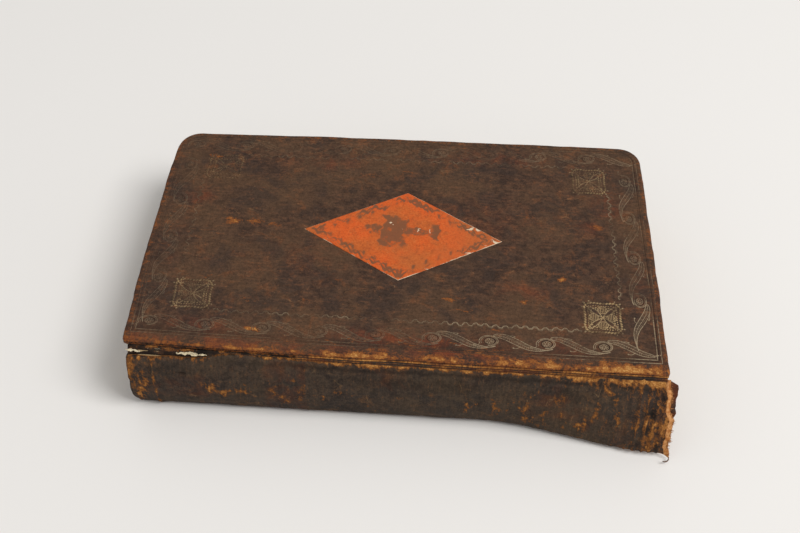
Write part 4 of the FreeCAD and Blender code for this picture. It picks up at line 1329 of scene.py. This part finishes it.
jointShape = {
    # name: cover, x from, x to, y, level at the cover, level at the block, wave, finish, slot
    "frontJoint": ("front_cover", -30.0, 82.6, -50.35, 28.1, 26.0, 0.24, "leather", "spine_leather"),
    "backJoint": ("back_cover", -78.0, 34.0, -49.95, 1.0, 2.6, 0.10, "leather", "spine_leather"),
    "frontPaperHinge": ("front_cover", -75.5, 75.5, -49.05, 26.25, 25.6, 0.05, "paper", "endpaper"),
    "backPaperHinge": ("back_cover", -75.5, 75.5, -49.05, 3.25, 3.9, 0.05, "paper", "endpaper"),
}


# A strip's step along x, its rows and thickness, and two shares of its height
stripShape = {"stepX": 0.6, "rows": 15, "thick": 0.3, "bend": (0.35, 0.75)}


def buildJoint(name, cover, xFrom, xTo, y0, coverZ, blockZ, wave, finish, slotName):
    # A wrinkled strip that follows the cover at its first rows and the block at its last ones
    s = stripShape
    u, v = unitGrid(int((xTo - xFrom) / s["stepX"]), s["rows"])
    x = xFrom + (xTo - xFrom) * u
    ends = np.minimum(u, 1 - u) * (xTo - xFrom)
    ragged = 0.25 * softNoise(v * 9, v * 0, 3, 151) * np.exp(-ends / 1.0)
    z = coverZ + (blockZ - coverZ) * v
    fold = np.sin(v * 17 + 1.4 * softNoise(x, x * 0, 12, 153))
    ridges = wave * (fold + 0.6 * softNoise(x, z * 12, 4, 155))
    # The leather strip's upper end is stuck down on the cover's side
    tuck = 1.9 * wave * np.exp(-v * 6) if finish == "leather" else 0.0
    streak = softNoise(x, z * 10, 7, 157)
    # The leather strip is darker in the troughs of its folds: painted shade in the creases. Its streaks and rubbed
    # crests are its own colour.
    values = {
        "wear": np.clip(0.32 * fold + 0.2 + 0.35 * streak + 0.3 * np.exp(-v * 5), 0, 1),
        "red": np.clip(0.85 + 0.4 * streak, 0, 1), "ink": np.clip(-0.45 * fold - 0.35 * streak, 0, 0.7),
        "raw": (0.0, 0.3), "leafTone": 0.3,
    }
    layers = [(x + ragged, y0 - ridges * 0.5 + depth + tuck, z) for depth in (0.0, s["thick"])]
    piece = makeSheet(name, layers, spineLeather if finish == "leather" else endPaper, values)
    tidyMesh(piece)
    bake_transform(piece)


for jointName, jointValues in jointShape.items():
    buildJoint(jointName, *jointValues)
print("stage: joints")


# Folded head cap, the flap left of the tail's turn-in, frayed fibres and what hangs in the open joint

tornShape = {
    # Head cap: section of the fold, outwards and inwards. Flap: reach of its outline at each level
    "capFold": [
        (0.5, 0.55), (0.75, 0.2), (0.4, 0.0), (-0.3, 0.0), (-1.1, 0.1),
        (-1.5, 0.4), (-1.1, 0.75), (-0.2, 0.8), (0.4, 0.85),
    ],
    "capRows": 44, "flapFrom": 82.6, "flapLow": 13.4, "flapHigh": 25.6,
    "flapOutline": [(13.4, 83.4), (15.0, 85.9), (17.0, 86.3), (20.2, 85.7), (22.2, 86.3), (24.4, 86.1), (25.6, 83.6)],
    "flapLayers": (0.55, 1.15), "fibres": 150, "fibreSeed": 17, "fibreHalf": 0.07, "fibreEnd": 86.75,
    "tongue": [(84.6, -62.2, 1.5), (85.6, -62.0, 1.1), (86.3, -61.4, 0.9), (86.5, -60.9, 1.3), (86.3, -60.7, 1.8)],
    # Remnant in the split: level of its upper edge along x. Paper bits: x from, x to, level, lean
    "remnantFrom": -81.6, "remnantLong": 51.6, "remnantTop": 27.1, "remnantIn": -49.95, "remnantThick": 0.35,
    "remnantEdge": [
        (-82.0, 26.6), (-79.5, 27.1), (-66.5, 27.1), (-64.5, 26.7), (-58.5, 26.7), (-56.5, 27.1), (-30.0, 27.1),
    ],
    "bits": [(-81.9, -77.6, 26.6, 0.6), (-66.4, -57.2, 26.3, 0.5)], "bitThick": 0.14, "bitPlace": -50.15,
}


def buildHeadCap():
    low, high = blockLow[2] + 1.0, upperJoint - spineShape["splitDrop"] - 1.0
    fold = tornShape["capFold"]
    points, values = [], []
    for level in np.linspace(low, high, tornShape["capRows"]):
        for outward, inward in fold:
            ragged = 0.12 * softNoise(np.array([level]), np.array([outward * 3]), 1.6, 161)[0]
            points.append((headEnd + 0.15 + inward * 0.75, float(arcY(hugRadius + outward + ragged, level)), level))
            values.append(0.35 if outward > 0 else 0.15)
    columns, count = len(fold), len(points)
    rings = [list(range(start, start + columns)) for start in range(0, count, columns)]
    faces = [rings[0], rings[-1][::-1]]
    for first, second in zip(rings, rings[1:]):
        faces += bandFaces(first, second)
    marks = {"wear": values, "red": np.full(count, 0.4), "ink": np.zeros(count), "raw": np.zeros(count)}
    return makePiece("headCapFold", points, faces, spineLeather, marks)


def buildTailFlap():
    # A scrap of the inner leather that shows beyond the torn edge. Its dark colour is painted shade: the scrap lies in
    # shadow.
    t = tornShape
    v, u = unitGrid(46, 10)
    z = t["flapLow"] + (t["flapHigh"] - t["flapLow"]) * v
    reach = np.interp(z, *zip(*t["flapOutline"])) + 0.22 * layeredNoise(z, z * 0, 1.4, 163)
    x = t["flapFrom"] + (reach - t["flapFrom"]) * u
    face = spineOuter(x, z, spineUpper(x), spineLower(x))
    curl = 0.35 * u - 0.25 * u * softNoise(z, z * 0 + 4, 3, 165)
    layers = [(x, face + depth + curl, z) for depth in t["flapLayers"]]
    return makeSheet("tailFlapScrap", layers, spineLeather, {"wear": 0.05, "red": 1.0, "ink": 0.25, "raw": 0.0})


def buildFibres():
    t = tornShape
    rng = np.random.default_rng(t["fibreSeed"])
    lines = []
    for _ in range(t["fibres"]):
        z = rng.uniform(0.8, 26.0)
        edge = float(tornEdge(np.array([z]))[0]) - 0.35
        top, bottom = float(spineUpper(np.array([edge]))[0]), float(spineLower(np.array([edge]))[0])
        y = float(spineOuter(np.array([edge]), np.array([z]), top, bottom)[0]) + rng.uniform(0.1, 0.8)
        reach = rng.uniform(0.3, 1.0) * (1.0 if z > 4 else 0.6)
        bend = rng.uniform(-0.5, 0.5, 2)
        run = np.linspace(0, 1, 6)
        x = np.minimum(edge + reach * run, t["fibreEnd"])
        level = np.maximum(z + bend[1] * run * reach, 0.15)
        line = np.stack([x, y + bend[0] * run ** 2 * reach * 0.6, level], -1)
        marks = {"wear": 0.3, "red": 0.2, "ink": 0.0, "raw": rng.uniform(0.4, 1.0)}
        lines.append((line, t["fibreHalf"] * (1 - 0.7 * run), marks))
    # The long thin tongue that curls away at the foot
    half = 0.22 * (1 - 0.5 * np.linspace(0, 1, 16))
    lines.append((alongPath(t["tongue"], 16), half, {"wear": 0.2, "red": 0.5, "ink": 0.5, "raw": 0.1}))
    return buildStrokes("tailFibres", lines, spineLeather, 4)


def buildRemnant():
    # Dark leather that still sticks to the shoulder in the open joint at the head
    t = tornShape
    u, v = unitGrid(90, 7)
    x = t["remnantFrom"] + t["remnantLong"] * u
    edge = np.interp(x, *zip(*t["remnantEdge"])) + 0.1 * layeredNoise(x, x * 0, 2.0, 171)
    top = np.minimum(edge, t["remnantTop"])
    low = np.minimum(spineUpper(x) - 0.5, top - 0.4)
    z = top + (low - top) * v
    underCover = coverWarp(x, x * 0 + spineEdge)[1] + 0.1
    crumple = 0.25 * layeredNoise(x, z, 2.0, 173) * np.sin(v * math.pi)
    layers = []
    for depth in (0.0, t["remnantThick"]):
        y = underCover - crumple + depth
        layers.append((x, y + (t["remnantIn"] - y) * softStep(v, 0.0, 0.8), z))
    quick = layeredNoise(x, z * 2, 2.4, 175)
    wear, ink = np.clip(0.2 + 0.5 * quick - 0.3 * v, 0, 1), np.clip(0.75 - 0.6 * quick, 0, 1)
    return makeSheet("splitRemnant", layers, spineLeather, {"wear": wear, "red": 0.4, "ink": ink, "raw": 0.0})


def buildPaperBit(number, xFrom, xTo, level, lean):
    # A crumpled sliver of the torn endpaper
    u, v = unitGrid(int((xTo - xFrom) / 0.25), 9)
    wide = 0.25 + 0.75 * np.sin(np.pi * np.clip(u + 0.12 * softNoise(u * 9, u * 0, 1, 177 + number), 0, 1)) ** 0.6
    x = xFrom + (xTo - xFrom) * u + 0.25 * softNoise(u * 14, v * 3, 1, 179 + number)
    z = level - 0.5 * u + (0.32 - 0.64 * v) * wide + 0.26 * layeredNoise(x, v * 2, 1.1, 181)
    y = tornShape["bitPlace"] - lean * v * 0.3 + 0.3 * layeredNoise(x * 1.3, z * 2, 0.9, 183)
    layers = [(x, y + depth, z) for depth in (0.0, tornShape["bitThick"])]
    return makeSheet("paperBit" + str(number), layers, endPaper, {"leafTone": 0.0})


for number, bit in enumerate(tornShape["bits"]):
    scrap = buildPaperBit(number, *bit)
    tidyMesh(scrap, 0.000002)
    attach(scrap, "book_block")
for scrap in (buildRemnant(), buildHeadCap(), buildTailFlap(), buildFibres()):
    tidyMesh(scrap, 0.000002)
    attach(scrap, "book_block")
print("stage: torn ends")


# Pages as separate leaves, and sewn endbands

pageShape = {
    "leaves": 150, "perGathering": 12, "unevenEnds": 0.3, "unevenFore": 0.35, "foreHollow": 1.2, "seed": 23,
    "leafThick": 0.8, "foldThick": 0.62, "skew": 0.0006, "foldSetIn": 0.25,
}


def buildPages():
    p = pageShape
    rng = np.random.default_rng(p["seed"])
    low, high = blockLow[2], blockHigh[2]
    pitch = (high - low) / p["leaves"]
    half = blockHigh[0]
    places, sizes, turns, tones = [], [], [], []
    for k in range(p["leaves"]):
        z = low + (k + 0.5) * pitch
        outer = k in (0, p["leaves"] - 1)
        inFold = (k % p["perGathering"]) in (0, p["perGathering"] - 1)
        headCut, tailCut = rng.uniform(0, p["unevenEnds"], 2) * (0.2 if outer else 1)
        foreCut = rng.uniform(0, p["unevenFore"]) * (0.2 if outer else 1)
        spineY = float(arcY(arcRadius - 0.02, z)) + (p["foldSetIn"] if inFold and not outer else 0.0)
        hollow = p["foreHollow"] * (1 - ((z - midLevel) / blockHalf) ** 2)
        foreY = blockHigh[1] - hollow - foreCut
        x0, x1 = -half + headCut, half - tailCut
        places.append(((x0 + x1) / 2, (spineY + foreY) / 2, z))
        sizes.append((x1 - x0, foreY - spineY, pitch * p["foldThick" if inFold else "leafThick"]))
        turns.append((0, 0, 0 if outer else rng.normal(0, p["skew"])))
        # Leaves at the gathering folds get a darker tone: painted shade between the gatherings. The random spread is
        # the leaves' own tone.
        tones.append(rng.uniform(0, 0.55) + (0.4 if inFold else 0))
    mesh = bpy.data.meshes.new("leafPlaces")
    mesh.from_pydata((np.array(places) * mm).tolist(), [], [])
    vectorLayer(mesh, "size", np.array(sizes) * mm)
    vectorLayer(mesh, "turn", np.array(turns))
    floatLayer(mesh, "leafTone", tones)
    block = {"Size": (1, 1, 1), "Vertices X": 3, "Vertices Y": 3, "Vertices Z": 2}
    leaves = pointGroup("leaves", [], "GeometryNodeMeshCube", block)
    pages = runGroup("pageLeaves", mesh, leaves, {"Finish": pagePaper})
    pages.data.polygons.foreach_set("use_smooth", [False] * len(pages.data.polygons))
    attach(pages, "book_block")
    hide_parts("text_block")


bandShape = {
    "radius": 0.8, "setIn": 0.4, "margin": 1.2, "turns": 34, "perTurn": 10, "lift": 0.6, "thread": 0.2, "core": 0.48,
}


def buildEndband(name, side):
    # A thread wound round a core that follows the text block's back
    b = bandShape
    radius = arcRadius - b["setIn"] - b["radius"]
    reach = math.asin((blockHalf - b["margin"]) / radius)
    x0 = side * (blockHigh[0] + b["radius"])
    count = b["turns"] * b["perTurn"]
    angle, coil = np.linspace(-1, 1, count) * reach, np.linspace(0, b["turns"] * 2 * math.pi, count)
    away = radius + b["lift"] * np.cos(coil)
    y, z = arcAxis - away * np.cos(angle), midLevel + away * np.sin(angle)
    wound = np.stack([x0 + b["lift"] * np.sin(coil), y, z], -1)
    angle = np.linspace(-1, 1, 40) * reach
    core = np.stack([np.full(40, x0), arcAxis - radius * np.cos(angle), midLevel + radius * np.sin(angle)], -1)
    stripe = (np.sin(coil / 6) > 0.2).astype(float)
    lines = [(wound, b["thread"], {"leafTone": stripe}), (core, b["core"], {"leafTone": 0.5})]
    band = buildStrokes(name + "Sewn", lines, threadMaterial, 6)
    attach(band, "book_block")
    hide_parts(name)


threadLook = {
    **pageLook, "light": tone(196, 176, 136), "dark": tone(168, 142, 100), "leaf": tone(96, 66, 46), "leafShare": 0.9,
}
threadMaterial = paperMaterial("bandThread", threadLook)
buildPages()
buildEndband("head_endband", -1)
buildEndband("tail_endband", 1)
print("stage: pages")


# The CAD pieces that keep their shape
finishes = {
    "front_flyleaf": endPaper, "back_flyleaf": endPaper, "back_pastedown": endPaper, "back_board": boardPaper,
    "spine_lining": liningPaper,
}
for number in range(1, 6):
    finishes["sewing_cord_" + str(number)] = liningPaper
for name, material in finishes.items():
    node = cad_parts[name]
    node.data.materials.clear()
    node.data.materials.append(material)
print("stage: carried-over pieces")


# Floor, light and camera

studio = {
    "floorReach": 3.0, "floorTone": tone(233, 230, 226), "floorRough": 0.95, "floorGloss": 0.1,
    "skyStrength": 0.52, "skyTone": (1.0, 1.0, 1.0, 1.0),
    "keyPlace": (1.25, -0.5, 1.85), "keySize": 1.1, "keyPower": 36.0,
}


def buildStudio():
    reach = studio["floorReach"]
    mesh = bpy.data.meshes.new("floor")
    corners = [(-reach, -reach, 0), (reach, -reach, 0), (reach, reach, 0), (-reach, reach, 0)]
    mesh.from_pydata(corners, [], [[0, 1, 2, 3]])
    floor = addObject("floor", mesh)
    material, _, surface = newMaterial("floorCloth")
    surface.inputs["Base Color"].default_value = studio["floorTone"]
    surface.inputs["Roughness"].default_value = studio["floorRough"]
    surface.inputs["Specular IOR Level"].default_value = studio["floorGloss"]
    mesh.materials.append(material)
    world = bpy.data.worlds.new("studioSky")
    bpy.context.scene.world = world
    world.use_nodes = True
    sky = world.node_tree.nodes["Background"]
    sky.inputs["Color"].default_value = studio["skyTone"]
    sky.inputs["Strength"].default_value = studio["skyStrength"]
    lamp = bpy.data.lights.new("keyLight", "AREA")
    lamp.size = studio["keySize"]
    lamp.energy = studio["keyPower"]
    holder = addObject("keyLight", lamp)
    holder.location = studio["keyPlace"]
    holder.rotation_euler = (-holder.location).to_track_quat("-Z", "Y").to_euler()


cameraSetup = {
    "place": (0.00868, -0.25719, 0.29292), "turn": (42.934, -1.130, 3.341), "lens": 50.0, "sensor": 36.0, "near": 0.01,
}


def buildCamera():
    data = bpy.data.cameras.new("bookCamera")
    data.lens = cameraSetup["lens"]
    data.sensor_width = cameraSetup["sensor"]
    data.clip_start = cameraSetup["near"]
    camera = addObject("bookCamera", data)
    camera.location = cameraSetup["place"]
    camera.rotation_euler = [math.radians(angle) for angle in cameraSetup["turn"]]
    bpy.context.scene.camera = camera


buildStudio()
buildCamera()
bpy.context.scene.view_settings.view_transform = "Standard"
print("stage: studio")
